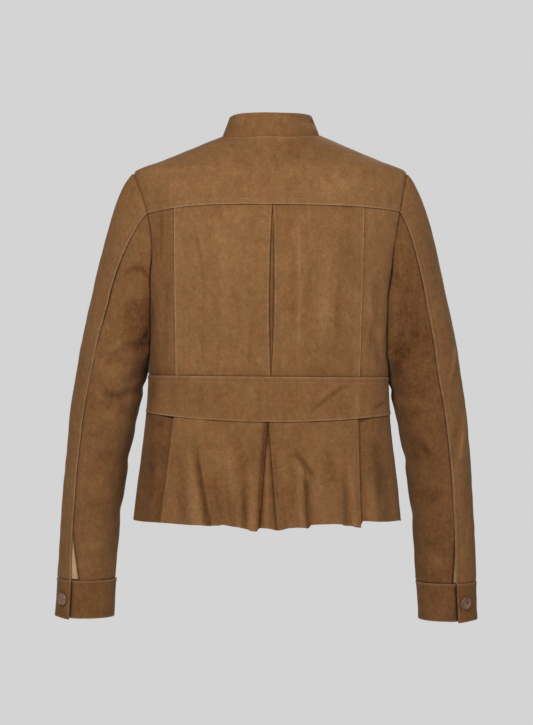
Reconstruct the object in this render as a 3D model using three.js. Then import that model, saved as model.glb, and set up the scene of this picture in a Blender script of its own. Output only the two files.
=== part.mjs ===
// A waist-length suede jacket, hollow, in the shape that it takes when it is worn.
// Millimetres, +Z up. The wearer faces -Y, so the back is at +Y and the wearer's left at +X.
// The origin lies midway between the two points where the shoulder seams meet the collar.
// Every piece of cloth is one closed wall about a grid of points of its middle surface. Rows go
// up, and columns go round the body against the clock as seen from above, so a grid's normal
// points out. The grids of the body lie on one surface, given by the TORSO table.
import * as THREE from "three";

// ---- Driving dimensions ----
const GAP = 0.3; // between two pieces at a seam
const SUEDE = 1.4; // wall of a single layer
const BAND = 2.0; // wall of a doubled layer: waistband and cuffs
const COLLAR_WALL = 2.4;
const SHOULDER_DROP = 3.3; // the left shoulder sits this much lower than the right one
const DROP_START_X = 5;
const DROP_FULL_X = 75;
const DROP_END_Z = 60; // the collar drops less and less up to here
const NECK_HALF = 67;
const NECK_BACK = 66; // y of the collar seam at the centre back
const NECK_FRONT = -75;
const NECK_CLEAR = 0.8; // the body stops this far outside the collar seam
const SHOULDER_HALF = 192;
const SHOULDER_Z = -51;
const UNDERARM_Z = -218;
const YOKE_Z = -105; // yoke seam at the centre back
const WAIST_Z = -342; // seam on top of the waistband
const BAND_BACK_Z = -403; // seam under the waistband, centre back
const BAND_SIDE_Z = -394; // and from the side seams to the front
const HEM_Z = -545;
const PRINCESS_YOKE = 130; // from the centre back to the seam beside the back panel, at the yoke
const PRINCESS_WAIST = 126.5;
const PRINCESS_SHIFT = 1; // both of these seams lie this much towards the wearer's left
const OVERLAP = 14; // each front runs this far past the centre front
const LAP = 0.5; // the right front lies this far outside the middle there, the left one inside
const ARM_LEAN = 5.5; // both armholes lie this much towards the wearer's right, half way down
const ARM_SLIDE = 0.04; // share of its length by which all that meets the left one sits lower
const BUST = { out: 9, x: 76, half: 42, z: -200, high: 50 }; // fullness of each front
const COLLAR_TOP_HALF = 57.5;
const COLLAR_TOP_BACK = 58;
const COLLAR_TOP_FRONT = -68;
const COLLAR_LIFT = 0.8; // its lower edge lies this far over the seam
const COLLAR_OPEN = 3; // half the space between its front ends
const COLLAR_CORNER = 14;
const TURN_RADIUS = 1.2; // of a pleat's folded edge, at the middle of its wall
const PLEAT_BACK = 22; // how far a folded edge runs back under its panel
const PLEAT_HALF = 26; // half width of a pleat's underlay
const PLEAT_SHIFT = -3.5; // the back pleat lies this far towards the wearer's right
const PLEAT_HEM_HALF = 38; // half width of the peplum's underlay at the hem
const PLEAT_INSET = 4.8; // underlay to panel, middle to middle
const RIDGE_OUT = 3; // soft ridge down the middle of the peplum's underlay
const RIDGE_HALF = 8;
const SIDE_INSET = 3.2; // side of the peplum under the folded edge, past the return
const SQUARE = 2.35; // power of the girth coordinate
const SLEEVE_SEAM = 67; // degrees from the outer side of the arm round to the back seam
const SLEEVE_FRONT_SEAM = -105;
const SEAM_TURN = 0.25; // a sleeve seam is this many degrees wide on each side
const SLEEVE_START = 1.2; // from the armhole to the sleeve's edge
const UNDERARM_START = 2.3; // and at the underarm, where the sleeve folds down over the body
const SLEEVE_CLEAR = 3; // middle of the sleeve's wall to the middle of the body's
const HUG_TURN = 95; // degrees round the arm from which the back of a sleeve bends to the body
const HUG_FULL_TURN = 140; // and from which it lies against it
const HUG_FULL_Z = -300; // down to here, and no more from HUG_END_Z on
const HUG_END_Z = -352;
const HUG_OUT = 0.12; // share by which it is fuller half way round that bend
const CAP_BOW = 2.5; // degrees by which the left sleeve's back seam bows out above CAP_END_Z
const RIGHT_WIDER = 2; // the right sleeve is this much wider than the left one on each side
const RIGHT_NEARER = 1; // and its middle lies this much nearer the body
const RIGHT_FULL_Z = -600; // both fade out from here down to the end of the cuff
const CAP_END_Z = -239;
const CUFF_TOP_Z = -639;
const CUFF_END_Z = -694.5;
const VENT_TOP_Z = -556;
const LAPPED = 3.4; // the cuff's under end lies this far inside
const TAB_DROP = 2; // and its tab hangs this much lower
const TAB_OUT = 0.4; // and lies this far outside
const UNDER_TURN = 38; // degrees round the arm that the cuff's under end runs past its tab
const TAB_TURN = 325; // from the tab's end round to where the tab starts
const LINING_WALL = 1;
const LINING_INSET = 3.2; // middle of the lining to the middle of the sleeve, at the slit
const CUFF_BUTTON_Z = -667;
const BUTTON_RADIUS = 9;
const BUTTON_CLEAR = 0.8; // back of a button to the cloth at its middle
const BUTTON_Z = [-98, -160, -222, -284, -368]; // down the centre front

// ---- Tables ----
// The body: half width, y of the centre back, centre front and side, and the section's power.
const TORSO = [
  { z: 0, half: 67, back: 62, front: -20, side: 6, power: 1.5 },
  { z: -25, half: 128, back: 75, front: -38, side: 2, power: 1.9 },
  { z: -38, half: 160, back: 80.5, front: -47, side: 0, power: 2.1 },
  { z: -51, half: 192, back: 86, front: -57, side: -2, power: 2.3 },
  { z: -57, half: 196, back: 88, front: -62, side: -2.5, power: 2.3 },
  { z: -80, half: 197, back: 95, front: -79, side: -4, power: 2.35 },
  { z: -110, half: 196, back: 100.5, front: -93, side: -5, power: 2.4 },
  { z: -150, half: 190, back: 104, front: -105, side: -5, power: 2.4 },
  { z: -190, half: 183, back: 104, front: -110, side: -5, power: 2.35 },
  { z: -218, half: 178.5, back: 102, front: -110, side: -4, power: 2.3 },
  { z: -260, half: 176, back: 97.5, front: -106, side: -3, power: 2.3 },
  { z: -300, half: 172, back: 92.5, front: -101, side: -1, power: 2.25 },
  { z: -342, half: 169.5, back: 89, front: -97, side: 0, power: 2.2 },
  { z: -370, half: 170.5, back: 89.5, front: -97, side: 0, power: 2.2 },
  { z: -403, half: 173, back: 92, front: -99, side: 0, power: 2.2 },
  { z: -440, half: 177, back: 98, front: -104, side: 0, power: 2.15 },
  { z: -490, half: 183, back: 107, front: -110, side: 0, power: 2.1 },
  { z: -560, half: 191, back: 119, front: -118, side: 0, power: 2.1 },
];
// The armhole: how far out it runs on the back and on the front.
const ARMHOLE = [
  { z: -51, back: 192, front: 192 },
  { z: -68, back: 187, front: 184 },
  { z: -83, back: 182.3, front: 177 },
  { z: -98, back: 178.5, front: 171.5 },
  { z: -113, back: 175, front: 167 },
  { z: -144, back: 169.5, front: 160.5 },
  { z: -161, back: 167.6, front: 158.5 },
  { z: -175, back: 166.8, front: 158 },
  { z: -188, back: 167, front: 159.5 },
  { z: -201, back: 169.5, front: 164 },
  { z: -212, back: 174, front: 172 },
  { z: -218, back: 178.5, front: 178.5 },
];
// The left sleeve: middle, half width across the arm and half depth along it.
const SLEEVE = [
  { z: -239, x: 204, y: -12, wide: 50, deep: 63 },
  { z: -302, x: 217, y: -14, wide: 50.5, deep: 60 },
  { z: -345, x: 223.5, y: -18, wide: 51.5, deep: 57 },
  { z: -388, x: 233.5, y: -24, wide: 48.5, deep: 54 },
  { z: -431, x: 240.5, y: -32, wide: 46.5, deep: 51 },
  { z: -475, x: 247, y: -41, wide: 44.7, deep: 48 },
  { z: -519, x: 252, y: -50, wide: 43.3, deep: 45 },
  { z: -563, x: 257, y: -59, wide: 42.2, deep: 42 },
  { z: -608, x: 260.5, y: -68, wide: 41.8, deep: 39.5 },
  { z: -652, x: 263.3, y: -76, wide: 41.8, deep: 37.5 },
  { z: -695, x: 265.8, y: -82.5, wide: 42.3, deep: 37 },
];
// Where the back seam of each sleeve lies, in degrees round the arm from its outer side.
const BACK_SEAM = [
  { z: -239, left: 66, right: 70.5 },
  { z: -345, left: 58, right: 71.5 },
  { z: -475, left: 58, right: 71 },
  { z: -575, left: 58.5, right: 73 },
  { z: -639, left: 62, right: 75 },
];
// Each sleeve: how far its slit opens at the cuff, the end of the cuff's tab and its button.
const SLEEVES = [
  { side: 1, name: "left", vent: 12, tab: 62.5, button: 45 },
  { side: -1, name: "right", vent: 7, tab: 74, button: 58 },
];
// Folds of a sleeve, each a trough: where its middle is, its half length in degrees round the
// arm, its half height, its depth, and how much it climbs for each degree.
const SLEEVE_FOLDS = [
  { z: -292, turn: 150, arc: 62, high: 9, deep: 5, climb: 0.32 },
  { z: -330, turn: 120, arc: 48, high: 10, deep: 4.5, climb: -0.26 },
  { z: -362, turn: 165, arc: 55, high: 9, deep: 5, climb: 0.2 },
  { z: -398, turn: 130, arc: 40, high: 9, deep: 3.5, climb: -0.22 },
  { z: -318, turn: 262, arc: 50, high: 10, deep: 5, climb: 0.24 },
  { z: -350, turn: 240, arc: 46, high: 9, deep: 4.5, climb: -0.2 },
  { z: -455, turn: 205, arc: 55, high: 12, deep: 3, climb: 0.15 },
  { z: -540, turn: 170, arc: 50, high: 13, deep: 2.5, climb: 0.12 },
];
// Height of the top edge of the collar, by the angle from the centre back.
const COLLAR_TOP = [
  { angle: 0, z: 24.6 },
  { angle: 30, z: 25.3 },
  { angle: 55, z: 25.8 },
  { angle: 75, z: 25.2 },
  { angle: 90, z: 23.4 },
  { angle: 107, z: 13 },
  { angle: 123, z: -1.2 },
  { angle: 140, z: -17.5 },
  { angle: 156, z: -31 },
  { angle: 168, z: -40 },
  { angle: 180, z: -42.3 },
];
// The back of the peplum, on the wearer's left (side 1) and right (side -1): x of its folded
// edges at the centre and at the side, at the waistband and at the hem.
const PEPLUM_EDGES = [
  { side: 1, centreTop: 0.8, centreHem: 11.5, outerTop: 130.5, outerHem: 147 },
  { side: -1, centreTop: 1.2, centreHem: 14.4, outerTop: 125, outerHem: 129 },
];
// Folds of the peplum, measured round from the centre back (face 1) or centre front (face -1),
// at the waistband and at the hem: how wide, how far out (in, below 0), and where each begins.
const PEPLUM_FOLDS = [
  { side: 1, face: 1, top: 74, hem: 54, wide: 9, out: -8, from: 0.12 },
  { side: 1, face: 1, top: 34, hem: 29, wide: 7, out: -4, from: 0.4 },
  { side: 1, face: 1, top: 104, hem: 92, wide: 18, out: 4, from: 0.1 },
  { side: -1, face: 1, top: 40, hem: 60, wide: 8, out: -8, from: 0.25 },
  { side: -1, face: 1, top: 84, hem: 90, wide: 17, out: 4, from: 0.1 },
  { side: -1, face: 1, top: 104, hem: 114, wide: 7, out: -4, from: 0.3 },
  { side: 1, face: 1, top: 186, hem: 200, wide: 14, out: -5, from: 0.1 },
  { side: -1, face: 1, top: 180, hem: 192, wide: 14, out: -5, from: 0.1 },
  { side: 1, face: -1, top: 66, hem: 72, wide: 15, out: -7, from: 0.1 },
  { side: 1, face: -1, top: 124, hem: 136, wide: 16, out: -6, from: 0.1 },
  { side: -1, face: -1, top: 58, hem: 64, wide: 14, out: -7, from: 0.1 },
  { side: -1, face: -1, top: 118, hem: 128, wide: 17, out: -6, from: 0.1 },
];

// ---- Numbers of steps: pieces that share a seam share its steps ----
const YOKE_ROWS = 5;
const SIDE_ROWS = 6; // underarm to yoke
const WAIST_ROWS = 5; // waistband to underarm
const FRONT_ROWS = 12; // underarm to shoulder, on the front
const CAP_ROWS = 6;
const PEPLUM_ROWS = 7;
const NECK_COLUMNS = 7; // centre front to shoulder

// ---- Interpolation ----
const mix = (a, b, t) => a + (b - a) * t;
const clamp = (v, low, high) => Math.min(high, Math.max(low, v));
const radians = THREE.MathUtils.degToRad;
const smooth = (a, b, v) => {
  const t = clamp((v - a) / (b - a), 0, 1);
  return t * t * (3 - 2 * t);
};
const bell = (v) => Math.exp(-v * v);
const steps = (n, from = 0, to = 1) => Array.from({ length: n + 1 }, (_, i) => mix(from, to, i / n));

// A column of a table at a value of its key, on a curve that never overshoots the rows.
function read(table, column, value, key = "z") {
  const rows = table[0][key] > table[1][key] ? table : [...table].reverse();
  const last = rows.length - 1;
  const at = clamp(value, rows[last][key], rows[0][key]);
  let i = 0;
  while (i < last - 1 && rows[i + 1][key] > at) i += 1;
  const width = (k) => rows[k + 1][key] - rows[k][key];
  const slope = (k) => (rows[k + 1][column] - rows[k][column]) / width(k);
  const tangent = (k) => {
    if (k === 0) return slope(0);
    if (k === last) return slope(last - 1);
    const before = slope(k - 1);
    const after = slope(k);
    return before * after <= 0 ? 0 : (2 * before * after) / (before + after);
  };
  const t = (at - rows[i][key]) / width(i);
  const straight = mix(rows[i][column], rows[i + 1][column], t * t * (3 - 2 * t));
  const bend = t * (1 - t) * ((1 - t) * tangent(i) - t * tangent(i + 1));
  return straight + width(i) * bend;
}

// ---- The body's surface ----
// Its girth coordinate runs from 0 at the centre back or centre front to 1 at the side.
const domainHalf = (z) => (z > SHOULDER_Z ? SHOULDER_HALF : read(TORSO, "half", z));
const across = (girth, z) =>
  Math.sign(girth) * domainHalf(z) * Math.sin((Math.abs(girth) * Math.PI) / 2) ** (2 / SQUARE);
const girthOf = (x, z) =>
  (Math.sign(x) * 2 * Math.asin(clamp(Math.abs(x) / domainHalf(z), 0, 1) ** (SQUARE / 2))) / Math.PI;

// face is 1 on the back and -1 on the front.
function depthAt(z, face) {
  const side = read(TORSO, "side", z);
  return face > 0 ? read(TORSO, "back", z) - side : side - read(TORSO, "front", z);
}
function onTorso(x, z, face) {
  const power = read(TORSO, "power", z);
  const half = read(TORSO, "half", z);
  const inside = clamp(x, -half, half);
  const left = Math.max(0, 1 - (Math.abs(inside) / half) ** power);
  const full = bell((Math.abs(inside) - BUST.x) / BUST.half) * bell((z - BUST.z) / BUST.high);
  const bust = face < 0 ? BUST.out * full * Math.min(1, left * 3) : 0;
  const out = depthAt(z, face) * left ** (1 / power) + bust;
  return new THREE.Vector3(inside, read(TORSO, "side", z) + face * Math.max(GAP / 2, out), z);
}
// How far out the body reaches at a given y.
function torsoX(y, z) {
  const power = read(TORSO, "power", z);
  const off = y - read(TORSO, "side", z);
  const share = Math.abs(off) / depthAt(z, Math.sign(off) || 1);
  return read(TORSO, "half", z) * Math.max(0, 1 - share ** power) ** (1 / power);
}
// The distance round the body from the centre.
function arcTo(x, z, face) {
  const parts = 24;
  let sum = 0;
  let before = onTorso(0, z, face);
  for (const t of steps(parts).slice(1)) {
    const next = onTorso(across(girthOf(Math.abs(x), z) * t, z), z, face);
    sum += next.distanceTo(before);
    before = next;
  }
  return sum;
}

// ---- Seams ----
// The collar seam is an ellipse seen from above, laid on the body. angle 0 is the centre back.
function neckSeam(angle, grow = 0) {
  const middle = read(TORSO, "side", 0);
  const face = Math.cos(angle) >= 0 ? 1 : -1;
  const reach = grow + (face > 0 ? NECK_BACK - middle : middle - NECK_FRONT);
  const x = (NECK_HALF + grow) * Math.sin(angle);
  const y = middle + reach * Math.cos(angle);
  let low = -120;
  let high = 0;
  for (let step = 0; step < 40; step += 1) {
    const z = (low + high) / 2;
    const power = read(TORSO, "power", z);
    const off = Math.abs(y - read(TORSO, "side", z)) / depthAt(z, face);
    const inside = (Math.abs(x) / read(TORSO, "half", z)) ** power + off ** power < 1;
    if (inside) low = z;
    else high = z;
  }
  return new THREE.Vector3(x, y, low);
}
// The front edges pass the centre front by OVERLAP; the neck's columns start from there.
const NECK_START = Math.PI + Math.asin(OVERLAP / (NECK_HALF + NECK_CLEAR));
const NECK_STEP = (NECK_START - Math.PI / 2) / NECK_COLUMNS;
const neckBorder = (angle) => {
  const p = neckSeam(angle, NECK_CLEAR);
  return [girthOf(p.x, p.z), p.z];
};

// The armhole from the shoulder (share 0) to the underarm (share 1), by its length.
function armholeLine(face, side) {
  const column = face > 0 ? "back" : "front";
  const points = steps(120).map((t) => {
    const down = Math.sin((t * Math.PI) / 2);
    const z = mix(SHOULDER_Z, UNDERARM_Z, down);
    return onTorso(read(ARMHOLE, column, z) - side * ARM_LEAN * Math.sin(Math.PI * down), z, face);
  });
  const lengths = [0];
  for (let i = 1; i < points.length; i += 1)
    lengths.push(lengths[i - 1] + points[i].distanceTo(points[i - 1]));
  return { points, lengths };
}
const armLines = (side) => ({ back: armholeLine(1, side), front: armholeLine(-1, side) });
const ARM_LINES = { left: armLines(1), right: armLines(-1) };
function armhole(face, share, side) {
  const lines = side > 0 ? ARM_LINES.left : ARM_LINES.right;
  const { points, lengths } = face > 0 ? lines.back : lines.front;
  const slide = side > 0 ? ARM_SLIDE * Math.sin(Math.PI * share) : 0;
  const at = (share + slide) * lengths[lengths.length - 1];
  let i = 1;
  while (i < lengths.length - 1 && lengths[i] < at) i += 1;
  const t = (at - lengths[i - 1]) / (lengths[i] - lengths[i - 1]);
  return points[i - 1].clone().lerp(points[i], t);
}
// The part of the armhole's length that the yoke takes up.
const YOKE_SHARE = SLEEVE_SEAM / 180;
const armBorder = (face, share, side, raise = 0) => {
  const p = armhole(face, share, side);
  return [girthOf(p.x, p.z + raise), p.z + raise];
};

const YOKE_ENDS = { left: armhole(1, YOKE_SHARE, 1), right: armhole(1, YOKE_SHARE, -1) };
const yokeSeamZ = (x, side) => {
  const end = side > 0 ? YOKE_ENDS.left : YOKE_ENDS.right;
  return mix(YOKE_Z, end.z, Math.min(1, Math.abs(x) / end.x) ** 3);
};
const princessX = (z, side) =>
  mix(PRINCESS_WAIST, PRINCESS_YOKE, clamp((z - WAIST_Z) / (YOKE_Z - WAIST_Z), 0, 1)) +
  side * PRINCESS_SHIFT;
const bandSeamZ = (x) => mix(BAND_BACK_Z, BAND_SIDE_Z, Math.min(1, (x / 165) ** 2));
// Half the opening of the pleat in the back, which closes at both ends.
const slitHalf = (z) => {
  const t = clamp((z - WAIST_Z) / (YOKE_Z - WAIST_Z), 0, 1);
  return 0.5 + 2.1 * Math.sin(Math.PI * t) ** 0.7;
};

// ---- Grids ----
// Bends a grid of [girth, z] between its four borders. A higher pull keeps the bends of the
// start and end borders closer to them.
function between({ bottom, top, start, end, pull = 1 }) {
  return (u, v, k) => {
    const startBend = start(v)[k] - mix(bottom(0)[k], top(0)[k], v);
    const endBend = end(v)[k] - mix(bottom(1)[k], top(1)[k], v);
    const plain = mix(bottom(u)[k], top(u)[k], v);
    return plain + (1 - u) ** pull * startBend + u ** pull * endBend;
  };
}
function panel(borders, us, vs, face) {
  const inside = between(borders);
  return vs.map((v) =>
    us.map((u) => {
      const z = inside(u, v, 1);
      return onTorso(across(inside(u, v, 0), z), z, face);
    }),
  );
}
const line = (from, to) => (t) => [mix(from[0], to[0], t), mix(from[1], to[1], t)];

// Slope of a line of points at one of them, from a parabola through it at either end.
function slopeAt(points, i) {
  const last = points.length - 1;
  if (i > 0 && i < last) return points[i + 1].clone().sub(points[i - 1]);
  const inward = i === 0 ? 1 : -1;
  const near = points[i + inward].clone().sub(points[i]);
  if (last < 2) return near.multiplyScalar(inward);
  const far = points[i + 2 * inward].clone().sub(points[i]);
  const ratio = near.length() / far.length();
  const slope = near.addScaledVector(far, -ratio * ratio);
  return slope.multiplyScalar(inward);
}
function normalAt(rows, j, i) {
  const along = slopeAt(rows[j], i);
  const up = slopeAt(
    rows.map((row) => row[i]),
    j,
  );
  return along.cross(up).normalize();
}
// Moves every point out by lift(point, row, column) millimetres.
const lifted = (rows, lift) =>
  rows.map((row, j) =>
    row.map((p, i) => p.clone().addScaledVector(normalAt(rows, j, i), lift(p, j, i))),
  );
// The mirror image, with its columns in the same turning direction.
const mirrored = (rows) =>
  rows.map((row) => row.map((p) => new THREE.Vector3(-p.x, p.y, p.z)).reverse());
const sided = (side, rows) => (side > 0 ? rows : mirrored(rows));

// Folds the last column of a grid back under it, as a pleat's edge is.
function foldedBack(rows) {
  const turns = steps(3, 0, Math.PI).slice(1);
  return rows.map((row, j) => {
    const last = row.length - 1;
    const edge = row[last];
    const out = normalAt(rows, j, last);
    const along = edge
      .clone()
      .sub(row[last - 1])
      .projectOnPlane(out)
      .normalize();
    const round = turns.map((turn) =>
      edge
        .clone()
        .addScaledVector(along, TURN_RADIUS * Math.sin(turn))
        .addScaledVector(out, TURN_RADIUS * (Math.cos(turn) - 1)),
    );
    const under = [0.5, 1].map((share) => {
      let left = share * PLEAT_BACK;
      let i = last;
      while (i > 1 && row[i].distanceTo(row[i - 1]) < left) {
        left -= row[i].distanceTo(row[i - 1]);
        i -= 1;
      }
      const t = left / row[i].distanceTo(row[i - 1]);
      const normal = normalAt(rows, j, i).lerp(normalAt(rows, j, i - 1), t).normalize();
      return row[i].clone().lerp(row[i - 1], t).addScaledVector(normal, -2 * TURN_RADIUS);
    });
    return [...row, ...round, ...under];
  });
}
const foldedBoth = (rows) => mirrored(foldedBack(mirrored(foldedBack(rows))));

// ---- Walls ----
const suede = new THREE.MeshStandardMaterial({ color: 0x8a6340, roughness: 0.95, metalness: 0 });
const satin = new THREE.MeshStandardMaterial({ color: 0xd9c08c, roughness: 0.45, metalness: 0 });
const horn = new THREE.MeshStandardMaterial({ color: 0x6f4a30, roughness: 0.4, metalness: 0 });

const jacket = new THREE.Group();

// One closed wall of the given thickness about a grid of points.
function wallGeometry(rows, thickness) {
  const m = rows.length;
  const n = rows[0].length;
  const positions = [thickness / 2, -thickness / 2].flatMap((half) =>
    rows.flatMap((row, j) =>
      row.flatMap((p, i) => p.clone().addScaledVector(normalAt(rows, j, i), half).toArray()),
    ),
  );
  const at = (layer, j, i) => (layer * m + j) * n + i;
  const faces = [];
  const quad = (a, b, c, d) => faces.push(a, b, c, a, c, d);
  for (let j = 0; j < m - 1; j += 1)
    for (let i = 0; i < n - 1; i += 1) {
      quad(at(0, j, i), at(0, j, i + 1), at(0, j + 1, i + 1), at(0, j + 1, i));
      quad(at(1, j, i), at(1, j + 1, i), at(1, j + 1, i + 1), at(1, j, i + 1));
    }
  for (let i = 0; i < n - 1; i += 1) {
    quad(at(0, 0, i), at(1, 0, i), at(1, 0, i + 1), at(0, 0, i + 1));
    quad(at(0, m - 1, i + 1), at(1, m - 1, i + 1), at(1, m - 1, i), at(0, m - 1, i));
  }
  for (let j = 0; j < m - 1; j += 1) {
    quad(at(0, j + 1, 0), at(1, j + 1, 0), at(1, j, 0), at(0, j, 0));
    quad(at(0, j, n - 1), at(1, j, n - 1), at(1, j + 1, n - 1), at(0, j + 1, n - 1));
  }
  return new THREE.BufferGeometry()
    .setAttribute("position", new THREE.Float32BufferAttribute(positions, 3))
    .setIndex(faces);
}
function addMesh(name, geometry, material) {
  const mesh = new THREE.Mesh(geometry, material);
  mesh.name = name;
  mesh.geometry.computeVertexNormals();
  jacket.add(mesh);
  return mesh;
}
// Lowers the left shoulder, from the neck out and above the yoke seam.
function settled(p) {
  const up = smooth(YOKE_Z, SHOULDER_Z, p.z) - smooth(0, DROP_END_Z, p.z);
  const share = smooth(DROP_START_X, DROP_FULL_X, p.x) * up;
  return new THREE.Vector3(p.x, p.y, p.z - SHOULDER_DROP * share);
}
const addWall = (name, rows, thickness, material = suede) =>
  addMesh(name, wallGeometry(rows.map((row) => row.map(settled)), thickness), material);
const sideName = (side) => (side > 0 ? "left" : "right");

// ---- Back ----
function yokeRows() {
  const neckShare = 0.36; // of the half width, taken up by the collar seam
  const neckEnd = neckSeam(Math.PI / 2, NECK_CLEAR).z;
  const seamEnds = [1, -1].map((side) => side * armBorder(1, YOKE_SHARE, side)[0]);
  const top = (u) => {
    const w = 1 - 2 * u;
    if (Math.abs(w) <= neckShare) return neckBorder((w / neckShare) * (Math.PI / 2));
    const z = mix(neckEnd, SHOULDER_Z, (Math.abs(w) - neckShare) / (1 - neckShare));
    return [girthOf(Math.sign(w) * read(TORSO, "half", z), z), z];
  };
  const bottom = (u) => {
    const girth = mix(seamEnds[0], seamEnds[1], u);
    return [girth, yokeSeamZ(across(girth, YOKE_Z), Math.sign(girth)) + GAP / 2];
  };
  const armSide = (side) => (v) => {
    const [girth, z] = armBorder(1, YOKE_SHARE * (1 - v), side, (1 - v) ** 8 * (GAP / 2));
    return [side * girth, z];
  };
  const half = [1, 0.86, 0.72, 0.6, 0.48, 0.36, 0.24, 0.12];
  const widths = [...half, 0, ...half.map((w) => -w).reverse()];
  const inside = between({ bottom, top, start: armSide(1), end: armSide(-1) });
  return steps(YOKE_ROWS).map((v) =>
    widths.map((w) => {
      const eased = v + (1 - w ** 4) * (Math.sin((v * Math.PI) / 2) - v);
      const u = (1 - w) / 2;
      const z = inside(u, eased, 1);
      return onTorso(across(inside(u, eased, 0), z), z, 1);
    }),
  );
}
addWall("back_yoke", yokeRows(), SUEDE);

// Heights of the rows of the panels below the yoke, as shares from the waistband to the yoke.
const sideLevels = (side) => {
  const top = yokeSeamZ(princessX(YOKE_Z, side), side) - GAP / 2;
  const bottom = WAIST_Z + GAP / 2;
  return [
    ...steps(WAIST_ROWS, bottom, UNDERARM_Z),
    ...steps(SIDE_ROWS, UNDERARM_Z, top).slice(1),
  ].map((z) => ({ z, v: (z - bottom) / (top - bottom) }));
};

function backPanelRows(side) {
  const levels = sideLevels(side);
  const bottom = levels[0].z;
  const top = levels[levels.length - 1].z;
  const seam = (z) => girthOf(princessX(z, side) - GAP / 2, z);
  const edge = (z) => girthOf(slitHalf(z) + TURN_RADIUS + side * PLEAT_SHIFT, z);
  const middleTop = YOKE_Z - GAP / 2;
  const topLine = (u) => {
    const girth = mix(seam(top), edge(middleTop), u);
    return [girth, yokeSeamZ(across(girth, top), side) - GAP / 2];
  };
  const borders = {
    bottom: line([seam(bottom), bottom], [edge(bottom), bottom]),
    top: topLine,
    start: (v) => [seam(mix(bottom, top, v)), mix(bottom, top, v)],
    end: (v) => [edge(mix(bottom, middleTop, v)), mix(bottom, middleTop, v)],
  };
  return foldedBack(panel(borders, steps(8), levels.map(({ v }) => v), 1));
}
function sideBackRows(side) {
  const bottom = WAIST_Z + GAP / 2;
  const top = yokeSeamZ(princessX(YOKE_Z, side), side) - GAP / 2;
  const seam = (z) => girthOf(princessX(z, side) + GAP / 2, z);
  const us = steps(7);
  const lower = panel(
    {
      bottom: line([1, bottom], [seam(bottom), bottom]),
      top: line([1, UNDERARM_Z], [seam(UNDERARM_Z), UNDERARM_Z]),
      start: line([1, bottom], [1, UNDERARM_Z]),
      end: (v) => [seam(mix(bottom, UNDERARM_Z, v)), mix(bottom, UNDERARM_Z, v)],
    },
    us,
    steps(WAIST_ROWS),
    1,
  );
  const arm = (v) => armBorder(1, mix(1, YOKE_SHARE, v), side, -(v ** 8) * (GAP / 2));
  const upper = panel(
    {
      bottom: line([1, UNDERARM_Z], [seam(UNDERARM_Z), UNDERARM_Z]),
      top: (u) => {
        const girth = mix(arm(1)[0], seam(top), u);
        return [girth, yokeSeamZ(across(girth, top), side) - GAP / 2];
      },
      start: arm,
      end: (v) => [seam(mix(UNDERARM_Z, top, v)), mix(UNDERARM_Z, top, v)],
    },
    us,
    steps(SIDE_ROWS),
    1,
  );
  return [...lower, ...upper.slice(1)];
}
for (const side of [1, -1]) {
  addWall(`back_${sideName(side)}`, sided(side, backPanelRows(side)), SUEDE);
  addWall(`side_back_${sideName(side)}`, sided(side, sideBackRows(side)), SUEDE);
}
function backPleatRows() {
  const xs = steps(4, PLEAT_SHIFT + PLEAT_HALF, PLEAT_SHIFT - PLEAT_HALF);
  const zs = steps(WAIST_ROWS + SIDE_ROWS, WAIST_Z + 1, YOKE_Z - 1);
  return lifted(zs.map((z) => xs.map((x) => onTorso(x, z, 1))), () => -PLEAT_INSET);
}
addWall("back_pleat", backPleatRows(), SUEDE);

// ---- Fronts ----
// The left front runs from its edge past the centre to the side; the right one is its mirror
// image, lapped over instead of under.
const lapLift = (side, wall) => (p) => {
  const near = 1 - smooth(OVERLAP + 6, OVERLAP + 34, p.x);
  return -side * near * (wall / 2 + LAP);
};
function frontRows(side) {
  const bottom = WAIST_Z + GAP / 2;
  const edge = (z) => girthOf(-OVERLAP, z);
  const neckShare = 0.52;
  const us = [...steps(NECK_COLUMNS, 0, neckShare), ...steps(5, neckShare, 1).slice(1)];
  const lower = panel(
    {
      bottom: line([edge(bottom), bottom], [1, bottom]),
      top: line([edge(UNDERARM_Z), UNDERARM_Z], [1, UNDERARM_Z]),
      start: line([edge(bottom), bottom], [edge(UNDERARM_Z), UNDERARM_Z]),
      end: line([1, bottom], [1, UNDERARM_Z]),
    },
    us,
    steps(WAIST_ROWS),
    -1,
  );
  const neckEnd = neckSeam(Math.PI / 2, NECK_CLEAR).z;
  const top = (u) => {
    if (u <= neckShare) return neckBorder(mix(NECK_START, Math.PI / 2, u / neckShare));
    const z = mix(neckEnd, SHOULDER_Z, (u - neckShare) / (1 - neckShare));
    return [girthOf(read(TORSO, "half", z), z), z];
  };
  const upper = panel(
    {
      bottom: line([edge(UNDERARM_Z), UNDERARM_Z], [1, UNDERARM_Z]),
      top,
      start: (v) => {
        const z = mix(UNDERARM_Z, top(0)[1], v);
        return [edge(z), z];
      },
      end: (v) => armBorder(-1, 1 - v, side),
      pull: 3,
    },
    us,
    steps(FRONT_ROWS),
    -1,
  );
  return lifted([...lower, ...upper.slice(1)], lapLift(side, SUEDE));
}
for (const side of [1, -1]) addWall(`front_${sideName(side)}`, sided(side, frontRows(side)), SUEDE);

// ---- Waistband ----
const bandRows = (columns, face, low) =>
  [0, 0.5, 1].map((v) =>
    columns.map((girth) => {
      const x = across(girth, WAIST_Z);
      const z = mix(low(x) + GAP / 2, WAIST_Z - GAP / 2, v);
      return onTorso(across(girth, z), z, face);
    }),
  );
addWall("waistband_back", bandRows(steps(26, 1, -1), 1, bandSeamZ), BAND);
for (const side of [1, -1]) {
  const columns = steps(13, girthOf(-OVERLAP, WAIST_Z), 1);
  const rows = lifted(bandRows(columns, -1, () => BAND_SIDE_Z), lapLift(side, BAND));
  addWall(`waistband_front_${sideName(side)}`, sided(side, rows), BAND);
}

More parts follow.
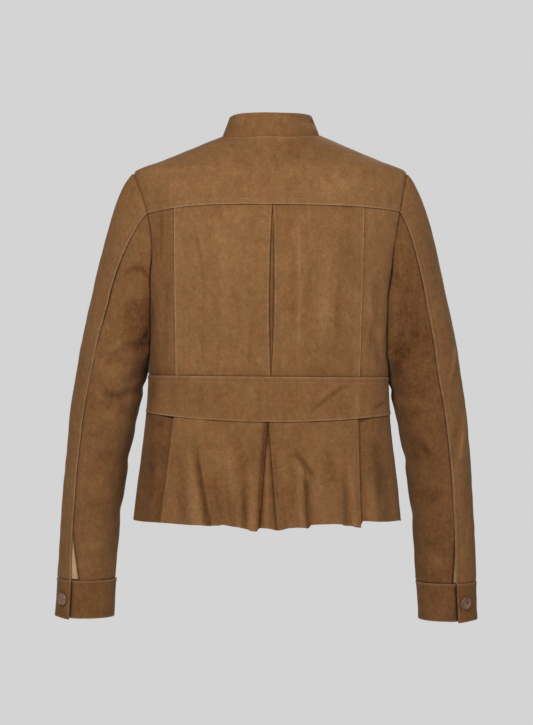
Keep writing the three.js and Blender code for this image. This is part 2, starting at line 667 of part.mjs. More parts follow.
// ---- Peplum ----
const foldLift = (side, face) => (p) => {
  const v = clamp((p.z - BAND_SIDE_Z) / (HEM_Z - BAND_SIDE_Z), 0, 1);
  const s = arcTo(p.x, p.z, face);
  return PEPLUM_FOLDS.filter((fold) => fold.side === side && fold.face === face).reduce(
    (sum, { top, hem, wide, out, from }) =>
      sum + out * smooth(from, 1, v) * bell((s - mix(top, hem, v)) / wide),
    0,
  );
};
// Rows of the peplum from the hem up, between two lines given as x by height share.
function peplumRows(startX, endX, columns, face) {
  return steps(PEPLUM_ROWS).map((v) =>
    steps(columns).map((u) => {
      const drop = 1 - v;
      const x0 = startX(drop);
      const x1 = endX(drop);
      const half = read(TORSO, "half", mix(BAND_BACK_Z, HEM_Z, drop));
      const x = half * Math.sin(mix(Math.asin(x0 / half), Math.asin(x1 / half), u));
      const top = face > 0 ? bandSeamZ(x) : BAND_SIDE_Z;
      return onTorso(x, mix(top - GAP / 2, HEM_Z, drop), face);
    }),
  );
}
const sideEdge = (drop) => read(TORSO, "half", mix(BAND_BACK_Z, HEM_Z, drop));

for (const { side, centreTop, centreHem, outerTop, outerHem } of PEPLUM_EDGES) {
  const name = sideName(side);
  const outer = (drop) => mix(outerTop, outerHem, drop);
  const centre = (drop) => mix(centreTop, centreHem, drop);
  const back = peplumRows(
    (drop) => outer(drop) - TURN_RADIUS,
    (drop) => centre(drop) + TURN_RADIUS,
    20,
    1,
  );
  addWall(`peplum_back_${name}`, sided(side, foldedBoth(lifted(back, foldLift(side, 1)))), SUEDE);
  const under = peplumRows(sideEdge, (drop) => outer(drop) - PLEAT_BACK, 9, 1);
  const tuck = (p) => {
    const v = clamp((p.z - BAND_SIDE_Z) / (HEM_Z - BAND_SIDE_Z), 0, 1);
    return -(SIDE_INSET + 2 * TURN_RADIUS) * (1 - smooth(-2, 26, p.x - outer(v)));
  };
  const sideRows = lifted(under, (p) => tuck(p) + foldLift(side, 1)(p));
  addWall(`peplum_side_${name}`, sided(side, sideRows), SUEDE);
  const front = peplumRows(() => -OVERLAP, sideEdge, 17, -1);
  const lap = lapLift(side, SUEDE);
  const folds = foldLift(side, -1);
  const frontLift = (p) => lap(p) + folds(p);
  addWall(`peplum_front_${name}`, sided(side, lifted(front, frontLift)), SUEDE);
}
{
  const rows = peplumRows(
    (drop) => mix(PLEAT_HALF, PLEAT_HEM_HALF, drop),
    (drop) => -mix(PLEAT_HALF, PLEAT_HEM_HALF, drop),
    14,
    1,
  );
  const ridge = (p) =>
    RIDGE_OUT * bell(p.x / RIDGE_HALF) * smooth(BAND_BACK_Z, HEM_Z, p.z) +
    foldLift(Math.sign(p.x) || 1, 1)(p) -
    PLEAT_INSET;
  addWall("peplum_pleat", lifted(rows, ridge), SUEDE);
}

// ---- Collar ----
function collarRows() {
  const length = (NECK_HALF + (NECK_BACK - NECK_FRONT) / 2) / 2;
  const last = 180 - THREE.MathUtils.radToDeg(COLLAR_OPEN / length);
  const nearEnd = [0, 2, 5, 9].map((mm) => last - THREE.MathUtils.radToDeg(mm / length));
  const front = steps(NECK_COLUMNS - 2, NECK_COLUMNS - 2, 0).map(
    (k) => 90 + THREE.MathUtils.radToDeg(k * NECK_STEP),
  );
  const half = [...nearEnd, ...front, ...steps(6, 90, 0).slice(1)];
  const angles = [...half, ...half.slice(0, -1).map((a) => -a).reverse()];
  return steps(3).map((v) =>
    angles.map((angle) => {
      const seam = neckSeam(radians(angle));
      const face = Math.cos(radians(angle)) >= 0 ? 1 : -1;
      const middle = read(TORSO, "side", 0);
      const reach = face > 0 ? COLLAR_TOP_BACK - middle : middle - COLLAR_TOP_FRONT;
      const fromEnd = radians(last - Math.abs(angle)) * length;
      const round = 1 - clamp(fromEnd / COLLAR_CORNER, 0, 1);
      const rise = read(COLLAR_TOP, "z", Math.abs(angle), "angle") - seam.z;
      const top = new THREE.Vector3(
        COLLAR_TOP_HALF * Math.sin(radians(angle)),
        middle + reach * Math.cos(radians(angle)),
        seam.z + rise * mix(0.5, 1, Math.sqrt(1 - round * round)),
      );
      return seam.setZ(seam.z + COLLAR_LIFT).lerp(top, v);
    }),
  );
}
addWall("collar", collarRows(), COLLAR_WALL);

// ---- Sleeves ----
// turn is in degrees round the arm: 0 on the outer side, 90 at the back, 180 next to the body.
function foldDepth(turn, z) {
  const full = ((turn % 360) + 360) % 360;
  return SLEEVE_FOLDS.reduce((sum, fold) => {
    const off = full - fold.turn;
    const shape = bell(off / fold.arc) * bell((z - fold.z - fold.climb * off) / fold.high);
    return sum + fold.deep * shape;
  }, 0);
}
function armPoint(turn, z, side, inset = 0) {
  const off = inset + foldDepth(turn, z);
  const right = side < 0 ? smooth(CUFF_END_Z, RIGHT_FULL_Z, z) : 0;
  const near = turn > 90 && turn < 180 ? smooth(HUG_END_Z, HUG_FULL_Z, z) : 0;
  const full = 1 + HUG_OUT * near * Math.sin(radians(2 * turn)) ** 2;
  const wide = (read(SLEEVE, "wide", z) + RIGHT_WIDER * right - off) * full;
  const deep = (read(SLEEVE, "deep", z) - off) * full;
  const y = read(SLEEVE, "y", z) + deep * Math.sin(radians(turn));
  const round = read(SLEEVE, "x", z) - RIGHT_NEARER * right + wide * Math.cos(radians(turn));
  const reach = torsoX(y, z) + SLEEVE_CLEAR;
  const x = mix(round, reach, near * smooth(HUG_TURN, HUG_FULL_TURN, turn));
  return new THREE.Vector3(Math.max(x, reach), y, z);
}
// From the armhole to the first full section of the arm.
function capPoint(turn, t, side) {
  const full = (turn + 360) % 360;
  const face = full <= 180 ? 1 : -1;
  const share = (face > 0 ? full : 360 - full) / 180;
  const from = armhole(face, share, side);
  const under = smooth(0.5, 0.75, share);
  const start = new THREE.Vector3(
    mix(0.8, 0.3, share),
    0.12 * face * Math.sin(Math.PI * share),
    -mix(0.6, 0.95, share),
  ).normalize();
  const power = read(TORSO, "power", from.z) - 1;
  const out = new THREE.Vector3(
    (from.x / read(TORSO, "half", from.z)) ** power / read(TORSO, "half", from.z),
    (face * Math.abs((from.y - read(TORSO, "side", from.z)) / depthAt(from.z, face)) ** power) /
      depthAt(from.z, face),
    0,
  ).normalize();
  from.addScaledVector(start, SLEEVE_START * (1 - under)).addScaledVector(out, UNDERARM_START * under);
  const to = armPoint(turn, CAP_END_Z, side);
  const end = armPoint(turn, CAP_END_Z - 10, side).sub(to).normalize();
  const reach = from.distanceTo(to);
  const s = t * t * (3 - 2 * t);
  const point = from
    .clone()
    .lerp(to, s)
    .addScaledVector(start, 0.5 * reach * t * (1 - t) * (1 - t))
    .addScaledVector(end, -reach * t * t * (1 - t));
  if (point.z < UNDERARM_Z + 12 && t > 0) {
    const clear = mix(UNDERARM_START, SLEEVE_CLEAR, Math.min(1, 3 * t));
    point.x = Math.max(point.x, torsoX(point.y, point.z) + clear);
  }
  return point;
}
// Spreads the turns on each side of the back seam, so that it lies at the turn given by seam.
function spread(turn, seam) {
  if (turn < 0 || turn > 180) return turn;
  if (turn < SLEEVE_SEAM) return (turn * seam) / SLEEVE_SEAM;
  return mix(seam, 180, (turn - SLEEVE_SEAM) / (180 - SLEEVE_SEAM));
}
const ARM_LEVELS = [
  ...steps(6, CUFF_TOP_Z + GAP / 2, -415),
  ...steps(9, -415, -285).slice(1),
  ...steps(2, -285, CAP_END_Z).slice(1),
];
function sleeveRows(turns, side, vent) {
  const arm = ARM_LEVELS.map((z) =>
    turns.map((turn) => {
      const open = vent * clamp((VENT_TOP_Z - z) / (VENT_TOP_Z - CUFF_TOP_Z), 0, 1);
      const back = clamp((180 - turn) / (180 - SLEEVE_SEAM), 0, 1);
      return armPoint(spread(turn, read(BACK_SEAM, sideName(side), z)) + open * back, z, side);
    }),
  );
  const seamEnd = read(BACK_SEAM, sideName(side), CAP_END_Z);
  const bow = side > 0 ? CAP_BOW : 0;
  const cap = steps(CAP_ROWS, 1, 0)
    .slice(1)
    .map((t) => {
      const seam = mix(SLEEVE_SEAM, seamEnd, t) - bow * Math.sin(Math.PI * t);
      return turns.map((turn) => capPoint(spread(turn, seam), t, side));
    });
  return [...arm, ...cap];
}
const TOP_TURNS = [
  SLEEVE_FRONT_SEAM + SEAM_TURN,
  ...steps(7, SLEEVE_FRONT_SEAM, 0).slice(1),
  ...steps(YOKE_ROWS, 0, SLEEVE_SEAM).slice(1, -1),
  SLEEVE_SEAM - SEAM_TURN,
];
const UNDER_TURNS = [
  SLEEVE_SEAM + SEAM_TURN,
  ...steps(SIDE_ROWS, SLEEVE_SEAM, 180).slice(1),
  ...steps(5, 180, 360 + SLEEVE_FRONT_SEAM).slice(1, -1),
  360 + SLEEVE_FRONT_SEAM - SEAM_TURN,
];
// The cuff goes once round, from its under end to the end of its tab.
function cuffRows(side, tab) {
  const flat = (inset) => (turn) => ({ turn: tab + turn, inset });
  const path = [
    ...steps(3, -UNDER_TURN, -4).map(flat(LAPPED)),
    { turn: tab + 1, inset: LAPPED * 0.7 },
    { turn: tab + 7, inset: 0 },
    ...steps(16, 17, TAB_TURN).map(flat(0)),
    ...steps(3, TAB_TURN, 360).slice(1).map(flat(-TAB_OUT)),
  ];
  return [0, 0.5, 1].map((v) =>
    path.map(({ turn, inset }) => {
      const drop = TAB_DROP * smooth(tab + TAB_TURN, tab + 360, turn) * (1 - v);
      return armPoint(turn, mix(CUFF_END_Z, CUFF_TOP_Z - GAP / 2, v) - drop, side, inset);
    }),
  );
}
const liningRows = (side, tab) =>
  steps(4, CUFF_TOP_Z + 2, VENT_TOP_Z - 2).map((z) =>
    steps(4, tab - 17, tab + 29).map((turn) => armPoint(turn, z, side, LINING_INSET)),
  );
for (const { side, name, vent, tab } of SLEEVES) {
  addWall(`top_sleeve_${name}`, sided(side, sleeveRows(TOP_TURNS, side, 0)), SUEDE);
  addWall(`under_sleeve_${name}`, sided(side, sleeveRows(UNDER_TURNS, side, vent)), SUEDE);
  addWall(`sleeve_lining_${name}`, sided(side, liningRows(side, tab)), LINING_WALL, satin);
  addWall(`cuff_${name}`, sided(side, cuffRows(side, tab)), BAND);
}

// ---- Buttons ----
// Plain rimmed discs, sewn on with their backs just clear of the cloth.
function addButton(name, centre, out, wall) {
  const profile = [
    [0, 0],
    [BUTTON_RADIUS - 1.2, 0],
    [BUTTON_RADIUS, 1],
    [BUTTON_RADIUS, 2],
    [BUTTON_RADIUS - 1, 3],
    [BUTTON_RADIUS - 2.4, 2.8],
    [BUTTON_RADIUS - 3.2, 2.1],
    [0, 2.3],
  ].map(([radius, height]) => new THREE.Vector2(radius, height));
  const mesh = addMesh(name, new THREE.LatheGeometry(profile, 14), horn);
  mesh.position.copy(centre).addScaledVector(out, wall / 2 + BUTTON_CLEAR);
  mesh.quaternion.setFromUnitVectors(new THREE.Vector3(0, 1, 0), out);
}
for (const { side, name, button } of SLEEVES) {
  const at = (da, dz) => armPoint(button + da, CUFF_BUTTON_Z + dz, side, -TAB_OUT);
  const out = at(3, 0).sub(at(-3, 0)).cross(at(0, 3).sub(at(0, -3))).normalize();
  const centre = at(0, 0);
  centre.x *= side;
  out.x *= side;
  addButton(`cuff_button_${name}`, centre, out, BAND);
}
BUTTON_Z.forEach((z, i) => {
  const at = (dx, dz) => onTorso(dx, z + dz, -1);
  const out = at(3, 0).sub(at(-3, 0)).cross(at(0, 3).sub(at(0, -3))).normalize();
  const wall = z < WAIST_Z ? BAND : SUEDE;
  addButton(`front_button_${i + 1}`, at(0, 0).addScaledVector(out, wall / 2 + LAP), out, wall);
});

export default jacket;
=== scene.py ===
"""The looks of a suede jacket in worn form, seen from behind.

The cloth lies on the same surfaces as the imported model's walls. Here it gets its turned edges,
topstitching, creases, hem line, lining, buttons and materials. Formulas are in millimetres, in
the model's frame: +Z up, the back at +Y, the wearer's left at +X, the origin between the
shoulder seams. Every grid has rows going up and columns going round against the clock as seen
from above, so its normals point out.
"""

import math
from collections import namedtuple

import bpy
import numpy as np
from mathutils import Matrix, Vector


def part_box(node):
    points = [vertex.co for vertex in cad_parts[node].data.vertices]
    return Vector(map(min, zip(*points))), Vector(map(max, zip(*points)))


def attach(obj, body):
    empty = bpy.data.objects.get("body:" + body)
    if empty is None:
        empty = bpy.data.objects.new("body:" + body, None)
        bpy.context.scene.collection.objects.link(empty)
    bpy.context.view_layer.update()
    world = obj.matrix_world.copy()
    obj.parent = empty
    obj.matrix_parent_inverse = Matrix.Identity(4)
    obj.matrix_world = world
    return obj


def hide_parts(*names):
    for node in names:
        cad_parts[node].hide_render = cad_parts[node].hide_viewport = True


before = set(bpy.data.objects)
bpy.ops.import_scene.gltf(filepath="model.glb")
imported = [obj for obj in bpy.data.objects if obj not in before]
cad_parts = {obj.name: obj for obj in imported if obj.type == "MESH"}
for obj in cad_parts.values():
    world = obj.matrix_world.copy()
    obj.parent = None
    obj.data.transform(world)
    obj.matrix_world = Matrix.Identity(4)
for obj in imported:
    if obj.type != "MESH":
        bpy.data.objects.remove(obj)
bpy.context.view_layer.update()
METRE = 1000.0

# ---- Sizes, in millimetres ----
GAP = 0.3
SUEDE = 1.4
BAND = 2.0
COLLAR_WALL = 2.4
SHOULDER_DROP = 3.3
DROP_START_X = 5
DROP_FULL_X = 75
DROP_END_Z = 60
NECK_HALF = 67
NECK_BACK = 66
NECK_FRONT = -75
NECK_CLEAR = 0.8
NECK_LEAST_Z = -120
SHOULDER_HALF = 192
SHOULDER_Z = -51
UNDERARM_Z = -218
YOKE_Z = -105
YOKE_LENGTH = 110
YOKE_NECK_SHARE = 0.36  # of the yoke's half width
FRONT_NECK_SHARE = 0.52
ARM_LEAN = 5.5
ARM_SLIDE = 0.04
WAIST_Z = -342
BAND_BACK_Z = -403
BAND_SIDE_Z = -394
BAND_BEND_HALF = 165
HEM_Z = -545
PRINCESS_YOKE = 130
PRINCESS_WAIST = 126.5
PRINCESS_SHIFT = 1
OVERLAP = 14
LAP = 0.5
LAP_FADE = 6, 34  # beyond the overlap
BUST = {"out": 9, "x": 76, "half": 42, "z": -200, "high": 50, "fade": 3}
COLLAR_TOP_HALF = 57.5
COLLAR_TOP_BACK = 58
COLLAR_TOP_FRONT = -68
COLLAR_LIFT = 0.8
COLLAR_TUCK = 3
COLLAR_OPEN = 3
COLLAR_CORNER = 14
COLLAR_END_SHARE = 0.5  # of its height, at its rounded ends
COLLAR_HEIGHT = 38
TURN_RADIUS = 1.2
SLIT_LEAST = 0.5
SLIT_SWELL = 3.6
PLEAT_BACK = 22
TURNED_UNDER = np.array([1.5, 4, 8, 14, PLEAT_BACK])  # places on what is turned under
PLEAT_HALF = 26
PLEAT_SHIFT = -3.5
PLEAT_HEM_HALF = 38
PLEAT_INSET = 4.8
PLEAT_SWELL = 2.4
PLEAT_SWELL_HALF = 1.7
RIDGE_OUT = 3
RIDGE_HALF = 8
RIDGE_FOLD = {"out": 0.5, "x": -1.5, "half": 1.6, "start": 20}  # beside the ridge
SIDE_INSET = 3.2
SQUARE = 2.35
SLEEVE_SEAM = 67
SLEEVE_FRONT_SEAM = -105
SLEEVE_SEAM_HALF = 0.25
SLEEVE_START = 1.2
UNDERARM_START = 2.3
UNDERARM_ABOVE = 12
UNDER_SHARES = 0.5, 0.75  # of the armhole, where the shoulder's start turns into the underarm's
LEAVE_OUT = 0.8, 0.3  # how a sleeve leaves the armhole, at the shoulder and at the underarm
LEAVE_DOWN = 0.6, 0.95
LEAVE_BACK = 0.12
LEAVE_PULL = 0.5
SLEEVE_CLEAR = 3
HUG_TURN = 95
HUG_FULL_TURN = 140
HUG_FULL_Z = -300
HUG_END_Z = -352
HUG_OUT = 0.12
CAP_BOW = 2.5
RIGHT_WIDER = 2
RIGHT_NEARER = 1
RIGHT_FULL_Z = -600
CAP_END_Z = -239
CAP_LENGTH = 160
CUFF_TOP_Z = -639
CUFF_END_Z = -694.5
VENT_TOP_Z = -556
LAPPED = 4.0
LAPPED_FADE = -3, 8
TAB_DROP = 2
TAB_OUT = 0.4
TAB_FADE = 12
UNDER_TURN = 38
TAB_TURN = 325
LINING_WALL = 1
LINING_INSET = 3.2
LINING_TURNS = -17, 29
LINING_SHORT = 2
STEP = 3.0  # between two lines of a grid, away from its edges
FINE_STEP = 2.4
FINER_STEP = 2.2
EDGE_STEPS = np.array([0, 0.8, 1.6, 2.6, 3.8, 5.3, 7.1, 9.2])  # and from an edge inward
HALVINGS = 40  # to find a seam
LINE_POINTS = 121  # of a line that is measured


def numbers(text):
    """The rows of a table of numbers, one to a line."""
    return [[float(number) for number in row.split()] for row in text.strip().splitlines()]


def table(names, text):
    """A table as one array for each named column."""
    return dict(zip(names.split(), np.array(numbers(text)).T))


def listed(kind, text):
    """The rows of a table as named tuples."""
    return [kind(*row) for row in numbers(text)]


TORSO = table("z half back front side power", """
    0 67 62 -20 6 1.5
    -25 128 75 -38 2 1.9
    -38 160 80.5 -47 0 2.1
    -51 192 86 -57 -2 2.3
    -57 196 88 -62 -2.5 2.3
    -80 197 95 -79 -4 2.35
    -110 196 100.5 -93 -5 2.4
    -150 190 104 -105 -5 2.4
    -190 183 104 -110 -5 2.35
    -218 178.5 102 -110 -4 2.3
    -260 176 97.5 -106 -3 2.3
    -300 172 92.5 -101 -1 2.25
    -342 169.5 89 -97 0 2.2
    -370 170.5 89.5 -97 0 2.2
    -403 173 92 -99 0 2.2
    -440 177 98 -104 0 2.15
    -490 183 107 -110 0 2.1
    -560 191 119 -118 0 2.1
""")
ARMHOLE = table("z back front", """
    -51 192 192
    -68 187 184
    -83 182.3 177
    -98 178.5 171.5
    -113 175 167
    -144 169.5 160.5
    -161 167.6 158.5
    -175 166.8 158
    -188 167 159.5
    -201 169.5 164
    -212 174 172
    -218 178.5 178.5
""")
SLEEVE = table("z x y wide deep", """
    -239 204 -12 50 63
    -302 217 -14 50.5 60
    -345 223.5 -18 51.5 57
    -388 233.5 -24 48.5 54
    -431 240.5 -32 46.5 51
    -475 247 -41 44.7 48
    -519 252 -50 43.3 45
    -563 257 -59 42.2 42
    -608 260.5 -68 41.8 39.5
    -652 263.3 -76 41.8 37.5
    -695 265.8 -82.5 42.3 37
""")
BACK_SEAM = table("z left right", """
    -239 66 70.5
    -345 58 71.5
    -475 58 71
    -575 58.5 73
    -639 62 75
""")
COLLAR_TOP = table("angle z", """
    0 24.6
    30 25.3
    55 25.8
    75 25.2
    90 23.4
    107 13
    123 -1.2
    140 -17.5
    156 -31
    168 -40
    180 -42.3
""")
# Folds of a sleeve: middle height, turn, half length in degrees, half height, depth, climb.
SleeveFold = namedtuple("SleeveFold", "z turn arc high deep climb")
SLEEVE_FOLDS = listed(SleeveFold, """
    -292 150 62 9 5 0.32
    -330 120 48 10 4.5 -0.26
    -362 165 55 9 5 0.2
    -398 130 40 9 3.5 -0.22
    -318 262 50 10 5 0.24
    -350 240 46 9 4.5 -0.2
    -455 205 55 12 3 0.15
    -540 170 50 13 2.5 0.12
""")
# Folded edges of the peplum's back, and its folds, both on the wearer's left (1) and right (-1).
PeplumEdge = namedtuple("PeplumEdge", "side centre_top centre_hem outer_top outer_hem")
PEPLUM_EDGES = [
    PeplumEdge(1, 0.8, 11.5, 130.5, 147),
    PeplumEdge(-1, 1.2, 14.4, 125, 129),
]
PeplumFold = namedtuple("PeplumFold", "side face top hem wide out start")
PEPLUM_FOLDS = listed(PeplumFold, """
    1 1 74 54 9 -8 0.12
    1 1 34 29 7 -4 0.4
    1 1 104 92 18 4 0.1
    -1 1 40 60 8 -8 0.25
    -1 1 84 90 17 4 0.1
    -1 1 104 114 7 -4 0.3
    1 1 186 200 14 -5 0.1
    -1 1 180 192 14 -5 0.1
    1 -1 66 72 15 -7 0.1
    1 -1 124 136 16 -6 0.1
    -1 -1 58 64 14 -7 0.1
    -1 -1 118 128 17 -6 0.1
""")
# Height of the hem on the back, from the wearer's right to the left.
BACK_HEM = table("x z", """
    -192 -543
    -150 -540.5
    -132 -538.5
    -129 -547.5
    -116 -544
    -88 -542
    -61.5 -542
    -58 -546.5
    -33 -546
    -15 -549.5
    -3 -547.5
    11 -546.5
    14 -551
    22 -550.5
    28 -548
    48 -545
    62 -543
    66 -544.5
    90 -545.5
    143 -544
    192 -546
""")

# Creases: where each runs from and to as seen from behind or in front, its half width,
# how far out it stands (below 0: in), lean (above 0: gentle towards the wearer's right when it
# runs down) and bow.
Crease = namedtuple("Crease", "x0 z0 x1 z1 wide out lean bow", defaults=(0, 0))
CREASE_DEPTH = 1.5  # for an out of 1
CREASE_TAPER = 0.3  # the share of its length at each end
BACK_CREASES = listed(Crease, """
    106 -122 88 -250 2.6 -0.7 0.3 2
    88 -205 89 -350 2.8 -0.8 -0.3 -3
    22 -235 28 -350 2.6 -0.9 0.2
    -36 -90 -40 -350 2.4 0.9 0.5 2
    -16 -240 -52 -262 4 -0.6
    150 -100 151 -190 2.4 -1.0
    140 -190 146 -330 5 -0.7
    62 -150 60 -300 9 0.7
    -80 -130 -74 -320 11 0.8
    -98 -180 -90 -345 6 -0.7 0.3
    -150 -185 -138 -330 6 -0.9 0 3
    -134 -225 -160 -300 5 0.9 0 -3
    -142 -255 -158 -345 5 -0.9
    -60 -12 -20 -70 9 0.5 0 6
    -150 -52 -90 -62 5 -0.5 0 3
    60 -10 28 -60 9 -0.4 0 -4
    152 -75 100 -98 8 0.5
    -70 -92 -130 -60 8 0.5
""")
BAND_CREASES = listed(Crease, """
    -116 -350 -56 -396 3.4 -1.5 -0.45 -4
    -108 -352 -64 -384 5 0.8 0 -6
    -146 -388 -166 -376 3 -1.2 0.3
    -124 -338 -124 -412 4.5 0.6
    94 -340 97 -412 3 -0.6 0.4
    24 -345 23 -400 7 0.5
    148 -338 146 -404 4 0.4
    -30 -345 -34 -405 9 -0.4
""")
PEPLUM_CREASES = listed(Crease, """
    100 -424 64 -600 4 -3.4 -0.6 -3
    106 -450 82 -600 9 1.8 0 -2
    34 -480 28 -615 4 -2.0 0.3
    24 -440 21 -610 5.5 1.9
    -50 -446 -62 -610 3.2 -2.7 0.2
    -43 -446 -55 -610 5 1.9
    -36 -440 -68 -482 3.4 -2.2 -0.3
    -30 -452 -58 -486 6 1.1
    -106 -462 -119 -610 4 -1.2 -0.2
    -114 -440 -126 -610 6 0.8
    -82 -430 -92 -500 9 -0.8
    -16 -436 -30 -500 7 0.9
    -22 -505 -30 -610 4 -0.9
    60 -420 44 -520 12 0.9
    140 -404 168 -414 3.6 -0.5 0.4 1
    160 -430 168 -520 9 -0.7
    124 -430 116 -560 8 -0.9
    -150 -420 -160 -520 8 -1.3
    -140 -470 -152 -600 6 1.0
""")
FRONT_CREASES = listed(Crease, """
    150 -190 92 -250 8 -1.8 0 4
    152 -225 100 -290 7 -1.2 0 3
    -148 -185 -88 -238 8 -1.8 0 -4
    -154 -230 -104 -300 7 -1.2 0 -3
    60 -260 52 -350 9 -1.0
    -66 -270 -60 -350 9 -1.1
    112 -270 104 -350 7 0.9
    -110 -280 -102 -350 7 0.9
    120 -60 90 -130 10 -0.9
    -116 -62 -92 -136 10 -0.9
    36 -400 44 -600 7 -1.6
    -40 -400 -50 -600 7 -1.5
    92 -400 102 -600 8 1.4
    -96 -400 -104 -600 8 1.4
    134 -410 146 -600 7 -1.4
    -138 -410 -150 -600 7 -1.5
""")
COLLAR_CREASES = listed(Crease, """
    -52 19 -70 6 2.6 -1.6 -0.3 1.5
    -46 14 -66 2 3.5 0.8
    30 24 -10 12 6 -0.4
    -6 26 -40 22 4 -0.5
    50 10 30 22 6 0.4
""")
# The left sleeve's rows come first.
SLEEVE_CREASES = listed(Crease, """
    162 -216 210 -208 4 -2.0 0.2 -20
    172 -236 206 -232 11 1.4 0 -12
    164 -272 198 -308 6 -1.1 0 3
    180 -334 206 -350 6 -0.8 0 4
    204 -290 226 -310 4 0.9 0 2
    208 -306 234 -330 4 -0.9 0 3
    198 -372 236 -362 6 -1.4 0 4
    206 -392 232 -400 7 1.1
    232 -428 262 -424 5 -0.6 0 2
    214 -450 250 -470 8 -0.9 0 -4
    222 -520 262 -530 8 -0.8 0 3
    234 -590 266 -578 8 0.7 0 3
    -188 -206 -176 -192 3 -1.0 0 3
    -168 -200 -206 -222 6 -0.5 0 -6
    -174 -252 -204 -262 8 -0.5 0 4
    -170 -296 -212 -322 8 -0.7 0 -4
    -182 -330 -214 -318 7 0.9 0 4
    -186 -352 -224 -372 7 -0.8 0 5
    -264 -286 -252 -352 3.2 1.6 0.4 2
    -276 -380 -268 -470 3.4 1.7 0.5 3
    -268 -384 -260 -470 5 -0.8 0 2
    -206 -430 -232 -462 6 -1.3 0 4
    -204 -420 -214 -470 6 -0.8
    -214 -500 -250 -520 8 -0.9 0 -4
    -226 -590 -262 -566 7 -0.4 0 3
    -232 -612 -262 -600 8 0.7
""")
SLEEVE_FRONT_CREASES = [
    Crease(side * x0, z0, side * x1, z1, wide, out, 0, side * bow)
    for side in (1, -1)
    for x0, z0, x1, z1, wide, out, bow in numbers("""
        168 -200 214 -232 6 -2.0 5
        176 -236 220 -262 7 -1.6 4
        186 -300 232 -318 7 -2.4 5
        190 -330 244 -344 6 -2.2 -4
        196 -362 250 -366 7 -2.0 4
        204 -398 250 -388 7 -1.4 -3
        216 -446 262 -458 9 -1.1 4
        226 -520 270 -532 9 -1.0 3
    """)
]


# ---- Interpolation ----
def mix(a, b, t):
    return a + (b - a) * t


def smooth(a, b, v):
    t = np.clip((v - a) / (b - a), 0, 1)
    return t * t * (3 - 2 * t)


def bell(v):
    return np.exp(-v * v)


def unit(v):
    return v / np.maximum(np.linalg.norm(v, axis=-1, keepdims=True), 1e-9)


def read(rows, column, value, key="z"):
    """A column of a table at values of its key, on a curve that never overshoots the rows."""
    order = np.argsort(rows[key])
    x, y = rows[key][order], rows[column][order]
    width, slope = np.diff(x), np.diff(y) / np.diff(x)
    before, after = slope[:-1], slope[1:]
    same = before * after > 0
    middle = np.where(same, 2 * before * after / np.where(same, before + after, 1), 0)
    tangent = np.concatenate([slope[:1], middle, slope[-1:]])
    at = np.clip(value, x[0], x[-1])
    i = np.clip(np.searchsorted(x, at, side="right") - 1, 0, len(width) - 1)
    t = (at - x[i]) / width[i]
    straight = mix(y[i], y[i + 1], t * t * (3 - 2 * t))
    bend = t * (1 - t) * ((1 - t) * tangent[i] - t * tangent[i + 1])
    return straight + width[i] * bend


def steps_of(rows, axis=0):
    """Distance from each point to the next one."""
    return np.linalg.norm(np.diff(rows, axis=axis), axis=-1)


def lengths_along(rows, axis):
    """Distance of each point from the first one of its row (axis 1) or column (axis 0)."""
    steps = steps_of(rows, axis)
    first = np.zeros_like(np.take(steps, [0], axis))
    return np.concatenate([first, np.cumsum(steps, axis)], axis)


def sampled(where, lengths, points):
    """Points at some places along a line whose own points lie at these lengths."""
    return np.stack([np.interp(where, lengths, points[:, k]) for k in range(3)], -1)


def spaced(length, step=STEP):
    """Shares from 0 to 1 along a length, closer together near both ends."""
    inner = length - 2 * EDGE_STEPS[-1]
    count = max(2, round(inner / step))
    middle = np.linspace(EDGE_STEPS[-1], length - EDGE_STEPS[-1], count + 1)
    return np.concatenate([EDGE_STEPS[:-1], middle, length - EDGE_STEPS[-2::-1]]) / length


def ripple(points, size, seed, stretch=1.0):
    """Smooth unevenness, about 1 high, with waves of about this length, longer along z."""
    draw = np.random.default_rng(seed)
    waves = 18
    direction = unit(draw.normal(size=(waves, 3)))
    direction[:, 2] /= stretch
    turn = 2 * math.pi / (size * draw.uniform(0.7, 1.5, waves))
    phase = points @ (direction * turn[:, None]).T + draw.uniform(0, 2 * math.pi, waves)
    return np.cos(phase).sum(-1) / math.sqrt(waves)


# ---- The body's surface ----
def domain_half(z):
    return np.where(z > SHOULDER_Z, SHOULDER_HALF, read(TORSO, "half", z))


def across(girth, z):
    return np.sign(girth) * domain_half(z) * np.sin(np.abs(girth) * math.pi / 2) ** (2 / SQUARE)


def girth_of(x, z):
    share = np.clip(np.abs(x) / domain_half(z), 0, 1)
    return np.sign(x) * 2 * np.arcsin(share ** (SQUARE / 2)) / math.pi


def depth_at(z, face):
    side = read(TORSO, "side", z)
    back = read(TORSO, "back", z) - side
    front = side - read(TORSO, "front", z)
    return np.where(np.asarray(face) > 0, back, front)


def on_body(x, z, face):
    """Points of the body's surface; face is 1 on the back and -1 on the front."""
    x, z = np.broadcast_arrays(np.asarray(x, float), np.asarray(z, float))
    power, half = read(TORSO, "power", z), read(TORSO, "half", z)
    inside = np.clip(x, -half, half)
    left = np.maximum(0, 1 - (np.abs(inside) / half) ** power)
    out = depth_at(z, face) * left ** (1 / power)
    if face < 0:
        full = bell((np.abs(inside) - BUST["x"]) / BUST["half"])
        full = full * bell((z - BUST["z"]) / BUST["high"])
        out = out + BUST["out"] * full * np.minimum(1, left * BUST["fade"])
    return np.stack([inside, read(TORSO, "side", z) + face * np.maximum(GAP / 2, out), z], -1)


def body_reach(y, z):
    """How far out the body reaches at a given y."""
    power = read(TORSO, "power", z)
    off = y - read(TORSO, "side", z)
    share = np.abs(off) / depth_at(z, np.where(off < 0, -1, 1))
    return read(TORSO, "half", z) * np.maximum(0, 1 - share**power) ** (1 / power)


def arc_to(x, z, face):
    """The distance round the body from the centre."""
    girth = girth_of(np.abs(x), z)
    points = on_body(across(girth * np.linspace(0, 1, 25)[:, None, None], z), z, face)
    return steps_of(points).sum(0)


